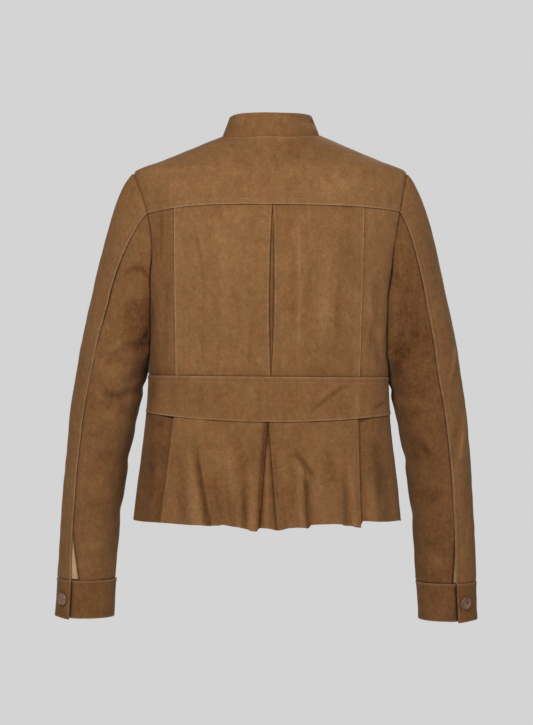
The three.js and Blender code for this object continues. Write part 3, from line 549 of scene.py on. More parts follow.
# ---- Seams ----
def neck_seam(angle, grow=0.0):
    angle = np.asarray(angle, float)
    middle = read(TORSO, "side", 0)
    face = np.where(np.cos(angle) >= 0, 1, -1)
    reach = grow + np.where(face > 0, NECK_BACK - middle, middle - NECK_FRONT)
    x = (NECK_HALF + grow) * np.sin(angle)
    y = middle + reach * np.cos(angle)
    low, high = np.full(angle.shape, float(NECK_LEAST_Z)), np.zeros(angle.shape)
    for _ in range(HALVINGS):
        z = (low + high) / 2
        power = read(TORSO, "power", z)
        off = np.abs(y - read(TORSO, "side", z)) / depth_at(z, face)
        inside = (np.abs(x) / read(TORSO, "half", z)) ** power + off**power < 1
        low, high = np.where(inside, z, low), np.where(inside, high, z)
    return np.stack([x, y, low], -1)


NECK_START = math.pi + math.asin(OVERLAP / (NECK_HALF + NECK_CLEAR))
NECK_END = neck_seam(math.pi / 2, NECK_CLEAR)[2]


def neck_border(angle):
    p = neck_seam(angle, NECK_CLEAR)
    return girth_of(p[..., 0], p[..., 2]), p[..., 2]


def armhole_line(face, side):
    down = np.sin(np.linspace(0, math.pi / 2, LINE_POINTS))
    z = mix(SHOULDER_Z, UNDERARM_Z, down)
    x = read(ARMHOLE, "back" if face > 0 else "front", z)
    points = on_body(x - side * ARM_LEAN * np.sin(math.pi * down), z, face)
    return points, lengths_along(points, 0)


ARM_LINES = {(face, side): armhole_line(face, side) for face in (1, -1) for side in (1, -1)}
YOKE_SHARE = SLEEVE_SEAM / 180


def armhole(face, share, side):
    """The armhole from the shoulder (share 0) to the underarm (share 1), by its length."""
    points, lengths = ARM_LINES[face, side]
    slide = ARM_SLIDE * np.sin(math.pi * share) if side > 0 else 0
    return sampled((share + slide) * lengths[-1], lengths, points)


def arm_border(face, share, side, rise=0.0):
    p = armhole(face, share, side)
    z = p[..., 2] + rise
    return girth_of(p[..., 0], z), z


YOKE_ENDS = {side: armhole(1, YOKE_SHARE, side) for side in (1, -1)}


def yoke_seam_z(x, side):
    end = YOKE_ENDS[side]
    return mix(YOKE_Z, end[2], np.minimum(1, np.abs(x) / end[0]) ** 3)


def panel_height(z):
    return np.clip((z - WAIST_Z) / (YOKE_Z - WAIST_Z), 0, 1)


def princess_x(z, side):
    return mix(PRINCESS_WAIST, PRINCESS_YOKE, panel_height(z)) + side * PRINCESS_SHIFT


def band_seam_z(x):
    return mix(BAND_BACK_Z, BAND_SIDE_Z, np.minimum(1, (x / BAND_BEND_HALF) ** 2))


def slit_half(z):
    return SLIT_LEAST + SLIT_SWELL * np.sin(math.pi * panel_height(z)) ** 0.7


# ---- Grids ----
def panel(us, vs, face, bottom, top, start, end, pull=1, ease=None):
    """A grid between four borders, each a function from a share to (girth, z)."""
    u, v = np.meshgrid(us, vs)
    v = ease(u, v) if ease else v
    corners = [np.array(f) for f in (bottom(0.0), top(0.0), bottom(1.0), top(1.0))]
    lines = bottom(u), top(u), start(v), end(v)
    found = []
    for k in (0, 1):
        low, high, first, last = (line[k] for line in lines)
        start_bend = first - mix(corners[0][k], corners[1][k], v)
        end_bend = last - mix(corners[2][k], corners[3][k], v)
        found.append(mix(low, high, v) + (1 - u) ** pull * start_bend + u**pull * end_bend)
    girth, z = found
    return on_body(across(girth, z), z, face)


def line(a, b):
    return lambda t: (mix(a[0], b[0], t), mix(a[1], b[1], t))


def upright(edge, low, high):
    """A border up an edge that has a girth at each height."""
    def border(v):
        z = mix(low, high, v)
        return edge(z), z
    return border


def neck_and_shoulder(out, neck_share, angle, side):
    """A border round the neck to this share of it, and from there along the shoulder."""
    z = mix(NECK_END, SHOULDER_Z, np.clip((out - neck_share) / (1 - neck_share), 0, 1))
    shoulder = girth_of(side * read(TORSO, "half", z), z), z
    return tuple(np.where(out <= neck_share, *pair) for pair in zip(neck_border(angle), shoulder))


def mirrored(rows):
    return (rows * [-1, 1, 1])[:, ::-1]


def sided(side, rows):
    return rows if side > 0 else mirrored(rows)


def settled(rows):
    """Lowers the left shoulder, from the neck out and above the yoke seam."""
    x, z = rows[..., 0], rows[..., 2]
    up = smooth(YOKE_Z, SHOULDER_Z, z) - smooth(0, DROP_END_Z, z)
    drop = SHOULDER_DROP * smooth(DROP_START_X, DROP_FULL_X, x) * up
    return np.stack([x, rows[..., 1], z - drop], -1)


def slopes(rows, axis):
    """Direction from each point to the next ones, from a parabola through three at the ends."""
    points = np.moveaxis(rows, axis, 0)
    found = np.empty_like(points)
    found[1:-1] = unit(points[2:] - points[1:-1]) + unit(points[1:-1] - points[:-2])
    found[0] = 2 * unit(points[1] - points[0]) - unit(points[2] - points[0])
    found[-1] = 2 * unit(points[-1] - points[-2]) - unit(points[-1] - points[-3])
    return np.moveaxis(unit(found), 0, axis)


def normals_of(rows):
    return unit(np.cross(slopes(rows, 1), slopes(rows, 0)))


# ---- Edges ----
# How a piece ends at a seam: how far it runs past the seam, how far out it lies there (below 0:
# in), over what width, and how much lighter or darker it is painted along the edge: lighter is
# partly rub and partly painted highlight, darker (below 0) is painted shade where the edge lies
# under another piece or sinks into a seam.
Edge = namedtuple("Edge", "past out wide rub")
EDGES = {
    "over": Edge(0.7, 0.6, 6.0, 1.25),
    "under": Edge(1.6, -1.35, 3.4, -1.0),
    "plain": Edge(0.0, -0.9, 1.3, -0.75),
    "seam": Edge(0.3, -0.3, 1.2, -0.3),
    "tucked": Edge(2.4, -1.9, 3.6, -0.9),
    "free": Edge(0.0, 0.0, 1.0, 0.35),
    "fold": Edge(0.0, 0.0, 1.0, 0.3),
    "hidden": Edge(0.0, 0.0, 1.0, 0.0),
}
FLAT_LAP = 0.35  # the level share of an edge that lies on top
TUCK_START = 0.2  # where an edge that lies underneath starts to rise
RUB_AND_HIGHLIGHT_WIDE = 1.1
EDGE_SHADE_WIDE = 1.5
# A row of stitches: its border, how far in it lies, and the length left free at each end.
Stitches = namedtuple("Stitches", "border inset free", defaults=(2.0,))
STITCH_DIP = 0.32
STITCH_DIP_HALF = 0.9
STITCH_PITCH = 2.9
STITCH_LIFT = 0.05
SIDES = ("start", "end", "bottom", "top")
NAMES = {1: "left", -1: "right"}


def from_border(rows, border):
    """The grid turned so that this border is its first row."""
    flipped = {"end": rows[:, ::-1], "top": rows[::-1]}.get(border, rows)
    return flipped.swapaxes(0, 1) if border in ("start", "end") else flipped


def turned_back(view, border):
    """The grid that from_border turned."""
    rows = view.swapaxes(0, 1) if border in ("start", "end") else view
    return {"end": rows[:, ::-1], "top": rows[::-1]}.get(border, rows)


def run_past(rows, border, past):
    """Adds two lines of points past a border, straight on."""
    view = from_border(rows, border)
    out = unit(view[0] - view[1])
    added = np.stack([view[0] + out * past, view[0] + out * past / 2])
    return turned_back(np.concatenate([added, view]), border)


def distance_from(rows, border, past):
    """How far each point is from a seam, along its line of the grid; below 0 past the seam."""
    return turned_back(lengths_along(from_border(rows, border), 0) - past, border)


def edge_shape(edge, distance):
    """The lift of a grid next to one of its edges, and the rub, painted highlight or painted shade
    there.
    """
    if edge is EDGES["plain"]:
        lift = edge.out * bell(np.maximum(distance, 0) / edge.wide)
    else:
        near = FLAT_LAP * edge.wide if edge.out > 0 else TUCK_START
        lift = edge.out * (1 - smooth(near, edge.wide, distance))
    # Light strips along edges are partly rub and partly painted highlight; dark strips are painted
    # shade.
    width = RUB_AND_HIGHLIGHT_WIDE if edge.rub > 0 else EDGE_SHADE_WIDE
    return lift, edge.rub * bell(np.maximum(distance + edge.past * (edge.rub > 0), 0) / width)


def folded_back(rows, paint):
    """Folds the last column of a grid back under it; the rub, painted highlight and painted shade
    of its edge stop at the fold.
    """
    normals = normals_of(rows)
    edge, out = rows[:, -1:], normals[:, -1:]
    along = edge - rows[:, -2:-1]
    along = unit(along - out * (along * out).sum(-1, keepdims=True))
    turn = np.linspace(0, math.pi, 9)[None, 1:, None]
    bend = edge + TURN_RADIUS * (along * np.sin(turn) + out * (np.cos(turn) - 1))
    rows_back = rows[:, ::-1]
    under = np.stack([
        sampled(TURNED_UNDER, far, row) - 2 * TURN_RADIUS * sampled(TURNED_UNDER, far, normal)
        for far, row, normal in zip(lengths_along(rows_back, 1), rows_back, normals[:, ::-1])
    ])
    keep = np.ones((1, turn.size + len(TURNED_UNDER), 2))
    keep[0, turn.size:, 0] = 0
    return np.concatenate([rows, bend, under], 1), np.concatenate([paint, paint[:, -1:] * keep], 1)


def creased(rows, normals, creases, face):
    """How far the creases lift each point that faces this way."""
    x, z = rows[..., 0], rows[..., 2]
    lift = np.zeros(x.shape)
    for c in creases:
        run = c.x1 - c.x0, c.z1 - c.z0
        length = math.hypot(*run)
        along = ((x - c.x0) * run[0] + (z - c.z0) * run[1]) / length**2
        off = ((x - c.x0) * run[1] - (z - c.z0) * run[0]) / length
        off = off - c.bow * 4 * along * (1 - along)
        wide = c.wide * (1 + c.lean * np.sign(off))
        taper = smooth(0, CREASE_TAPER, along) * smooth(0, CREASE_TAPER, 1 - along)
        lift += CREASE_DEPTH * c.out * taper * bell(off / wide)
    return lift * smooth(0.0, 0.5, face * normals[..., 1])


# ---- Meshes ----
# A wall's rim, in shares of its thickness: how far its two faces stop short of it, and its lines
# as (height, how far back).
RIM_INSET = 0.3
RIM = ((0.4, 0.1), (0.0, 0.0), (-0.4, 0.1))
LEAST_AREA = 0.3  # of the rectangle a piece is cut from


def put(name, data):
    """A new object of the scene."""
    made = bpy.data.objects.new(name, data)
    bpy.context.scene.collection.objects.link(made)
    return made


def new_piece(name, vertices, faces, material, slot=None, replaced=None, attributes={}):
    """A mesh of the jacket, or of the stage where it has no slot."""
    mesh = bpy.data.meshes.new(name)
    mesh.from_pydata((vertices / METRE).tolist(), [], faces.tolist())
    mesh.polygons.foreach_set("use_smooth", np.ones(len(mesh.polygons), bool))
    for key, parts in attributes.items():
        values = mesh.attributes.new(key, "FLOAT", "POINT").data
        values.foreach_set("value", np.concatenate(parts))
    mesh.materials.append(material)
    piece = put(name, mesh)
    if slot:
        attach(piece, "root")
    if replaced:
        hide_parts(replaced)
    return piece


def once_round(lower, right, upper, left):
    """The border points of a grid, from these four grids of what to take on each side."""
    return np.concatenate([lower[0, :-1], right[:-1, -1], upper[-1, :0:-1], left[:0:-1, 0]])


def cloth_piece(node, rows, thickness, material, slot, paint):
    """A closed wall about a grid, with rounded edges, that was cut from a sheet. paint holds, for
    each point, the rub, painted highlight or painted shade along its edges, and its tone with its
    painted shade and highlights."""
    m, n = rows.shape[:2]
    count = m * n
    up, along, grid = slopes(rows, 0), slopes(rows, 1), np.arange(count).reshape(m, n)
    out = unit(once_round(-up, along, up, -along)) * thickness
    border = once_round(grid, grid, grid, grid)
    centre, normal = rows.reshape(-1, 3), normals_of(rows).reshape(-1, 3) * thickness
    sheets = [centre + normal / 2, centre - normal / 2]
    for sheet in sheets:
        sheet[border] -= out * RIM_INSET
    rims = [centre[border] + normal[border] * height - out * back for height, back in RIM]
    a, b, c, d = grid[:-1, :-1], grid[:-1, 1:], grid[1:, 1:], grid[1:, :-1]
    upper = np.stack([a, b, c, d], -1).reshape(-1, 4)
    lower = np.stack([a, d, c, b], -1).reshape(-1, 4) + count
    rim_loops = 2 * count + np.arange(3 * len(border)).reshape(3, -1)
    loops = [border, *rim_loops, border + count]
    strips = [
        np.stack([high, low, np.roll(low, -1), np.roll(high, -1)], -1)
        for high, low in zip(loops, loops[1:])
    ]
    rub, tone = (values.ravel() for values in np.moveaxis(paint, -1, 0))
    attributes = {
        "rub": [rub, 0 * rub, *[rub[border]] * 3],
        "tone": [tone, tone, *[tone[border]] * 3],
        "inside": [0 * rub, 0 * rub + 1, *[0 * rub[border]] * 3],
    }
    faces = np.concatenate([upper, lower, *strips])
    piece = new_piece(f"{node}_cloth", np.concatenate([*sheets, *rims]), faces, material, slot,
                      node, attributes)
    width, length = (lengths_along(rows, axis).max() / METRE for axis in (1, 0))
    area = (steps_of(rows, 1)[:-1] * steps_of(rows, 0)[:, :-1]).sum() / METRE**2
    area = float(np.clip(area, LEAST_AREA * width * length, width * length))


def angles_of(sides):
    return np.arange(sides) * 2 * math.pi / sides


def spindle(rings, sides):
    """Triangles of a first point, this many rings of points and a last point."""
    k = np.arange(sides)
    after = (k + 1) % sides
    top = 1 + (rings - 1) * sides
    triangles = [(0 * k, 1 + after, 1 + k), (top + k, top + after, 0 * k + top + sides)]
    for low in range(1, top, sides):
        high = low + sides
        triangles += [(low + k, low + after, high + after), (low + k, high + after, high + k)]
    return np.concatenate([np.stack(corners, -1) for corners in triangles])


# A stitch is a small rounded bar: rings along it as (place, size) shares, and sides round it.
STITCH_LENGTH = 2.1
STITCH_WIDTH = 0.66
STITCH_HEIGHT = 0.75  # of its width
STITCH_RINGS = ((-0.36, 0.8), (0.0, 1.0), (0.36, 0.8))
STITCH_SIDES = 5
STITCH_SUNK = 0.3


def stitch_bars(places, tangents, normals):
    """Vertices and faces of one bar at each place."""
    side = unit(np.cross(normals, tangents))
    sunk = places - normals * STITCH_WIDTH * STITCH_SUNK
    parts = [sunk - tangents * STITCH_LENGTH / 2]
    for place, size in STITCH_RINGS:
        for angle in angles_of(STITCH_SIDES):
            off = side * math.cos(angle) + normals * STITCH_HEIGHT * math.sin(angle)
            off = off * STITCH_WIDTH / 2
            parts.append(places + tangents * STITCH_LENGTH * place + off * size)
    parts.append(sunk + tangents * STITCH_LENGTH / 2)
    vertices = np.stack(parts, 1)
    offsets = np.arange(len(vertices))[:, None, None] * vertices.shape[1]
    faces = spindle(len(STITCH_RINGS), STITCH_SIDES) + offsets
    return vertices.reshape(-1, 3), faces.reshape(-1, 3)


def stitch_line(rows, normals, distance, row, thickness):
    """Places, directions and normals of the stitches of one row."""
    far, path, up = (from_border(grid, row.border).swapaxes(0, 1)
                     for grid in (distance[row.border], rows, normals))
    path, up = (np.stack([sampled(row.inset, *pair) for pair in zip(far, grid)])
                for grid in (path, up))
    up = unit(up)
    path += up * (thickness / 2 + STITCH_LIFT)
    length = lengths_along(path, 0)
    sewn = length[-1] - 2 * row.free
    count = max(1, int(sewn / STITCH_PITCH))
    centres = row.free + (np.arange(count) + 0.5) * sewn / count
    tangents = unit(sampled(centres + 1, length, path) - sampled(centres - 1, length, path))
    return sampled(centres, length, path), tangents, unit(sampled(centres, length, up))


# Soft patches of painted shade (tone below 0) and painted light on what faces back, by their half
# sizes; the darkest lie where the sleeves turn in towards the body.
ShadePatch = namedtuple("ShadePatch", "x z wide high tone")
SHADE_PATCHES = listed(ShadePatch, """
    187 -262 17 46 -0.26
    168 -264 11 38 -0.4
    183 -301 14 13 -0.16
    170 -330 18 34 -0.36
    -198 -262 24 60 -0.12
    -206 -290 28 30 -0.12
    -180 -318 14 30 -0.16
    58 -250 20 44 -0.12
    34 -471 10 26 -0.13
    -121 -505 12 24 -0.15
    -46 -30 42 22 -0.13
    20 -480 40 60 -0.14
    -33 -480 14 60 -0.15
    73 -516 14 34 -0.18
    164 -372 14 26 -0.22
    14 -290 16 110 -0.1
    -66 -300 40 60 -0.04
    -6 -20 50 40 -0.05
    150 -150 9 50 -0.08
""")
FACING_BACK = -0.3, 0.2


def patch_shading(rows, normals):
    """How much the patches of painted shade change the tone of each point."""
    x, z = rows[..., 0], rows[..., 2]
    change = sum(p.tone * bell(np.hypot((x - p.x) / p.wide, (z - p.z) / p.high)) for p in SHADE_PATCHES)
    return change * smooth(*FACING_BACK, normals[..., 1])


# How light each piece of suede is painted: partly its own tone, partly painted shade, with the
# side pieces, under sleeves and pleats set darker where they turn from the light or lie in the
# shade of a sleeve or the slit, and the right side back lighter where the lamps fall off. Then
# how much painted shade the creases put in their hollows and painted highlight on their ridges.
PIECE_TONES_AND_SHADE = dict(
    back_yoke=0.8, back_left=0.8, back_right=0.74, side_back_left=0.71, side_back_right=0.81,
    back_pleat=0.6, front_left=0.75, front_right=0.75, collar=0.74, waistband_back=0.71,
    waistband_front_left=0.68, waistband_front_right=0.68, peplum_back_left=0.72,
    peplum_back_right=0.7, peplum_side_left=0.45, peplum_side_right=0.58, peplum_pleat=0.6,
    peplum_front_left=0.62, peplum_front_right=0.62, top_sleeve_left=0.74,
    under_sleeve_left=0.66, top_sleeve_right=0.68, under_sleeve_right=0.49, cuff_left=0.55,
    cuff_right=0.51,
)
RELIEF_SHADING = 0.11
RELIEF_SHADING_RANGE = -0.3, 0.15
RIPPLES = ((60, 1.0, 2.0), (17, 0.45, 1.6))  # a piece's unevenness: sizes, shares and stretches
PUCKERS = (11, 0.5)  # along its stitches: size and share


def beside(distance, wide, tone):
    """A strip of painted shade (tone below 0) or painted highlight beside a border."""
    return tone * bell(distance / wide)


def cloth(node, rows, thickness, side=1, creases=(), face=1, shape=None, stitches=(),
          ripples=0.3, seed=0, painted_shading=None, edges=""):
    """One piece of cloth and its topstitching, in place of a node of the model. shape is a
    further lift of its points; painted shade and highlights, where given, change their tone; and
    edges names the edges of SIDES."""
    swap = {"start": "end", "end": "start"} if side < 0 else {}
    edges = {swap.get(k, k): EDGES[name] for k, name in zip(SIDES, edges.split())}
    stitches = [row._replace(border=swap.get(row.border, row.border)) for row in stitches]
    rows = settled(sided(side, rows))
    for border, edge in edges.items():
        if edge.past:
            rows = run_past(rows, border, edge.past)
    distance = {k: distance_from(rows, k, edges[k].past) for k in SIDES}
    normals = normals_of(rows)
    lift = ripples * sum(share * ripple(rows, size, seed + k, stretch)
                         for k, (size, share, stretch) in enumerate(RIPPLES))
    relief = creased(rows, normals, creases, face)
    # Painted shade in the hollows of the creases, painted highlight on their ridges, and the patches
    # of painted shade.
    tone = PIECE_TONES_AND_SHADE[node] + np.clip(RELIEF_SHADING * relief, *RELIEF_SHADING_RANGE) + patch_shading(rows, normals)
    lift += relief
    if painted_shading is not None:
        tone = tone + painted_shading(rows, {k: distance[swap.get(k, k)] for k in SIDES})
    if shape is not None:
        lift += shape(rows)
    # Along each edge: rub and painted highlight (above 0) or painted shade (below 0).
    rub = np.zeros(lift.shape)
    for border, edge in edges.items():
        edge_lift, edge_rub_highlight_and_shade = edge_shape(edge, distance[border])
        lift += edge_lift
        rub = np.where(np.abs(edge_rub_highlight_and_shade) > np.abs(rub), edge_rub_highlight_and_shade, rub)
    for row in stitches:
        pucker = 1 + PUCKERS[1] * ripple(rows, PUCKERS[0], seed + 2)
        lift -= STITCH_DIP * pucker * bell((distance[row.border] - row.inset) / STITCH_DIP_HALF)
    rows = rows + normals * lift[..., None]
    flat = rows
    paint = np.stack([rub, tone], -1)
    if edges["end"] is EDGES["fold"]:
        rows, paint = folded_back(rows, paint)
    if edges["start"] is EDGES["fold"]:
        rows, paint = folded_back(mirrored(rows), paint[:, ::-1])
        rows, paint = mirrored(rows), paint[:, ::-1]
    cloth_piece(node, rows, thickness, SUEDE_CLOTH, "suede", paint)
    if stitches:
        normals = normals_of(flat)
        lines = [stitch_line(flat, normals, distance, row, thickness) for row in stitches]
        bars = stitch_bars(*(np.concatenate(part) for part in zip(*lines)))
        new_piece(f"{node}_stitches", *bars, THREAD, "thread")


# ---- Materials ----
class Nodes:
    """A material's node tree, with short calls to add to it."""

    def __init__(self, name, inputs):
        self.material = bpy.data.materials.new(name)
        self.material.use_nodes = True
        self.tree = self.material.node_tree
        self.shader = self.tree.nodes["Principled BSDF"]
        self.feed(self.shader, inputs)
        self.place = self.add("ShaderNodeTexCoord").outputs["Object"]

    def feed(self, node, inputs):
        """Gives inputs, by number or name, a value or a socket."""
        for key, value in inputs.items():
            if isinstance(value, bpy.types.NodeSocket):
                self.tree.links.new(value, node.inputs[key])
            else:
                node.inputs[key].default_value = value

    def add(self, kind, inputs={}, **settings):
        node = self.tree.nodes.new(kind)
        for key, value in settings.items():
            setattr(node, key, value)
        self.feed(node, inputs)
        return node

    def noise(self, scale, detail=2.0, rough=0.5, warp=0.0, stretch=(1, 1, 1)):
        """A noise from 0 to 1 whose scale is in waves to the metre, shrunk along each axis."""
        place = self.add("ShaderNodeMapping", {"Vector": self.place, "Scale": stretch}).outputs[0]
        inputs = {"Vector": place, "Scale": scale, "Detail": detail, "Roughness": rough,
                  "Distortion": warp}
        return self.add("ShaderNodeTexNoise", inputs).outputs["Fac"]

    def ramp(self, source, *stops):
        """Colours or shades at rising places."""
        ramp = self.add("ShaderNodeValToRGB", {"Fac": source})
        elements = ramp.color_ramp.elements
        while len(elements) < len(stops):
            elements.new(0.5)
        for element, (place, colour) in zip(elements, stops):
            element.position = place
            shade = colour if isinstance(colour, tuple) else (colour,) * 3
            element.color = (*shade, 1)
        return ramp.outputs["Color"]

    def blend(self, how, amount, low, high):
        """Mixes two colours."""
        inputs = {0: amount, 6: low, 7: high}
        return self.add("ShaderNodeMix", inputs, data_type="RGBA", blend_type=how).outputs[2]

    def attribute(self, name):
        return self.add("ShaderNodeAttribute", attribute_name=name).outputs["Fac"]

    def scaled(self, source, factor, base=0.0, clamp=False):
        """source * factor + base"""
        inputs = {0: source, 1: factor, 2: base}
        node = self.add("ShaderNodeMath", inputs, operation="MULTIPLY_ADD", use_clamp=clamp)
        return node.outputs[0]

    def bump(self, height, distance, strength, **before):
        """Relief from a height; before may hold the Normal that it adds to."""
        inputs = {"Height": height, "Distance": distance / METRE, "Strength": strength, **before}
        return self.add("ShaderNodeBump", inputs).outputs["Normal"]

    def finish(self, colour, **relief):
        """The material, once its shader has its colour and, where it has one, its Normal."""
        self.feed(self.shader, {"Base Color": colour, **relief})
        return self.material


# Colours of the suede by tone, from the painted shade of its darkest folds to its light edges,
# which are partly rubbed and partly a painted highlight.
SUEDE_TONES = (
    (0.0, (0.030, 0.012, 0.004)),
    (0.25, (0.105, 0.042, 0.015)),
    (0.5, (0.166, 0.0735, 0.0262)),
    (0.8, (0.247, 0.119, 0.0458)),
    (1.0, (0.312, 0.161, 0.068)),
    (1.25, (0.430, 0.258, 0.128)),
)
TONE_TOP = SUEDE_TONES[-1][0]
RUB_HIGHLIGHT_AND_SHADE_TONE = 0.36
FLESH_SHARE = 0.3
FLESH = (0.3, 0.19, 0.1, 1)
# Layers that vary the tone: waves to the metre, detail, roughness, stretch and amount.
SUEDE_LAYERS = (
    (480, 3.0, 0.65, (1, 1, 1), 0.6),
    (190, 3.0, 0.6, (1, 1, 0.85), 0.4),
    (80, 3.0, 0.6, (1, 1, 0.7), 0.34),
    (24, 2.0, 0.5, (1, 1, 0.8), 0.2),
    (7, 1.0, 0.5, (1, 1, 1), 0.14),
    (120, 2.0, 0.5, (1, 1, 0.13), 0.16),
)


def suede_material():
    """Napped suede: painted shade in folds, edges light from rub and painted highlight, faint
    patches.
    """
    nodes = Nodes("suede", {
        "Roughness": 0.95, "Specular IOR Level": 0.08, "Sheen Weight": 0.16,
        "Sheen Roughness": 0.45, "Sheen Tint": (0.95, 0.72, 0.5, 1),
    })
    # The edges' rub, painted highlight and painted shade, added to each point's tone with its
    # painted shade.
    tone = nodes.scaled(nodes.attribute("rub"), RUB_HIGHLIGHT_AND_SHADE_TONE, nodes.attribute("tone"))
    for scale, detail, rough, stretch, amount in SUEDE_LAYERS:
        tone = nodes.scaled(nodes.noise(scale, detail, rough, 0.2, stretch), amount, tone)
    middle = -sum(layer[-1] for layer in SUEDE_LAYERS) / 2
    share = nodes.scaled(tone, 1 / TONE_TOP, middle / TONE_TOP, clamp=True)
    colour = nodes.ramp(share, *((place / TONE_TOP, colour) for place, colour in SUEDE_TONES))
    patches = nodes.ramp(nodes.noise(55, 3.0, 0.7, 0.5), (0.3, (0.95, 1.02, 0.98)),
                         (0.5, (1, 1, 1)), (0.7, (1.05, 0.975, 1.0)))
    colour = nodes.blend("MULTIPLY", 1.0, colour, patches)
    flesh = nodes.scaled(nodes.attribute("inside"), FLESH_SHARE)
    fibres = nodes.bump(nodes.noise(320, 4.0, 0.65, 0.3), 0.5, 0.5)
    nap = nodes.bump(nodes.noise(950, 3.0, 0.7), 0.22, 0.5, Normal=fibres)
    return nodes.finish(nodes.blend("MIX", flesh, colour, FLESH), Normal=nap)


def thread_material():
    nodes = Nodes("tan_thread", {"Roughness": 0.6, "Sheen Weight": 0.2})
    colour = nodes.ramp(nodes.noise(90, 2.0), (0.35, (0.25, 0.145, 0.066)),
                        (0.65, (0.35, 0.215, 0.105)))
    return nodes.finish(colour, Normal=nodes.bump(nodes.noise(2600, 1.0), 0.1, 0.5))


def satin_material():
    nodes = Nodes("cream_satin", {"Roughness": 0.38, "Sheen Weight": 0.15})
    soft = nodes.noise(60, 2.0, 0.5, 0.2, (1, 1, 0.25))
    colour = nodes.ramp(soft, (0.3, (0.46, 0.29, 0.12)), (0.7, (0.66, 0.45, 0.23)))
    weave = nodes.noise(1800, 1.0, 0.5, 0.0, (1, 1, 0.1))
    return nodes.finish(colour, Normal=nodes.bump(weave, 0.08, 0.4))


def horn_material(name, pale, dark):
    nodes = Nodes(name, {"Roughness": 0.42, "Coat Weight": 0.15})
    mottle = nodes.noise(260, 4.0, 0.65, 0.8)
    middle = tuple(mix(d, p, 0.55) for d, p in zip(dark, pale))
    colour = nodes.ramp(mottle, (0.34, dark), (0.5, middle), (0.66, pale))
    return nodes.finish(colour, Normal=nodes.bump(mottle, 0.15, 0.3))


SUEDE_CLOTH = suede_material()
THREAD = thread_material()
SATIN = satin_material()


# ---- Back ----
def back_yoke():
    ends = [side * arm_border(1, YOKE_SHARE, side)[0] for side in (1, -1)]

    def top(u):
        out = 1 - 2 * u
        angle = np.clip(out / YOKE_NECK_SHARE, -1, 1) * math.pi / 2
        return neck_and_shoulder(np.abs(out), YOKE_NECK_SHARE, angle, np.sign(out))

    def bottom(u):
        girth = mix(ends[0], ends[1], u)
        seam = [yoke_seam_z(across(girth, YOKE_Z), side) for side in (1, -1)]
        return girth, np.where(girth > 0, *seam) + GAP / 2

    def arm_side(side):
        def border(v):
            girth, z = arm_border(1, YOKE_SHARE * (1 - v), side)
            return side * girth, z
        return border

    def ease(u, v):
        """Draws the rows together near the neck."""
        return v + (1 - (1 - 2 * u) ** 4) * (np.sin(v * math.pi / 2) - v)

    rows = panel(spaced(2 * SHOULDER_HALF), spaced(YOKE_LENGTH), 1, bottom, top,
                 arm_side(1), arm_side(-1), ease=ease)
    # A painted highlight along the yoke's top edge, at the neck seam.
    cloth("back_yoke", rows, SUEDE, creases=BACK_CREASES, seed=3,
          painted_shading=lambda p, distance: beside(distance["top"], 4, 0.2),
          stitches=[Stitches("bottom", 1.5), Stitches("bottom", 7.2)],
          edges="seam seam over over")


ALLOWANCE_LIFT = 0.45
ALLOWANCE_END = 7.5, 10.5


def seam_allowance(distance):
    """The fold of suede inside a seam raises it a little, as far as the outer stitches."""
    return ALLOWANCE_LIFT * (1 - smooth(*ALLOWANCE_END, distance)) * smooth(-1, 0.5, distance)


def back_panels(side):
    seam_top = yoke_seam_z(princess_x(YOKE_Z, side), side) - GAP / 2
    bottom, middle_top = WAIST_Z + GAP / 2, YOKE_Z - GAP / 2
    seam = lambda z: girth_of(princess_x(z, side) - GAP / 2, z)
    edge = lambda z: girth_of(slit_half(z) + TURN_RADIUS + side * PLEAT_SHIFT, z)

    def below_yoke(start, end):
        """The border along the yoke's seam, between two girths."""
        def border(u):
            girth = mix(start, end, u)
            return girth, yoke_seam_z(across(girth, seam_top), side) - GAP / 2
        return border

    # Painted shade below the yoke seam and above the waistband, and a painted highlight over the
    # raised seam allowance beside the princess seam.
    def painted_shading(p, distance):
        return (beside(distance["bottom"], 12, -0.12) + beside(distance["top"], 9, -0.07)
                + beside(distance["start"], 7, 0.06))

    rows = panel(spaced(PRINCESS_YOKE), spaced(YOKE_Z - WAIST_Z), 1,
                 line((seam(bottom), bottom), (edge(bottom), bottom)),
                 below_yoke(seam(seam_top), edge(middle_top)),
                 upright(seam, bottom, seam_top), upright(edge, bottom, middle_top))
    allowance = lambda p: seam_allowance(princess_x(p[..., 2], side) - side * p[..., 0])
    cloth(f"back_{NAMES[side]}", rows, SUEDE, side, BACK_CREASES, seed=10 + side,
          shape=allowance, painted_shading=painted_shading, stitches=[Stitches("start", 1.5), Stitches("start", 8.0)],
          edges="over fold under under")

    outer_seam = lambda z: girth_of(princess_x(z, side) + GAP / 2, z)
    us, below_arm = spaced(60), np.linspace(0, 1, 45)[:-1]
    at_arm = line((1, UNDERARM_Z), (outer_seam(UNDERARM_Z), UNDERARM_Z))
    lower = panel(us, below_arm, 1, line((1, bottom), (outer_seam(bottom), bottom)), at_arm,
                  line((1, bottom), (1, UNDERARM_Z)), upright(outer_seam, bottom, UNDERARM_Z))
    arm = lambda v: arm_border(1, mix(1, YOKE_SHARE, v), side)
    upper = panel(us, np.linspace(0, 1, 40), 1, at_arm,
                  below_yoke(arm(1.0)[0], outer_seam(seam_top)), arm,
                  upright(outer_seam, UNDERARM_Z, seam_top))

    def shadow(p, distance):
        wide = 2.2 if side > 0 else 5
        return beside(distance["end"], wide, -0.18) + beside(distance["bottom"], 12, -0.12)

    cloth(f"side_back_{NAMES[side]}", np.concatenate([lower, upper]), SUEDE, side, BACK_CREASES,
          painted_shading=shadow, seed=20 + side, edges="seam under under under")


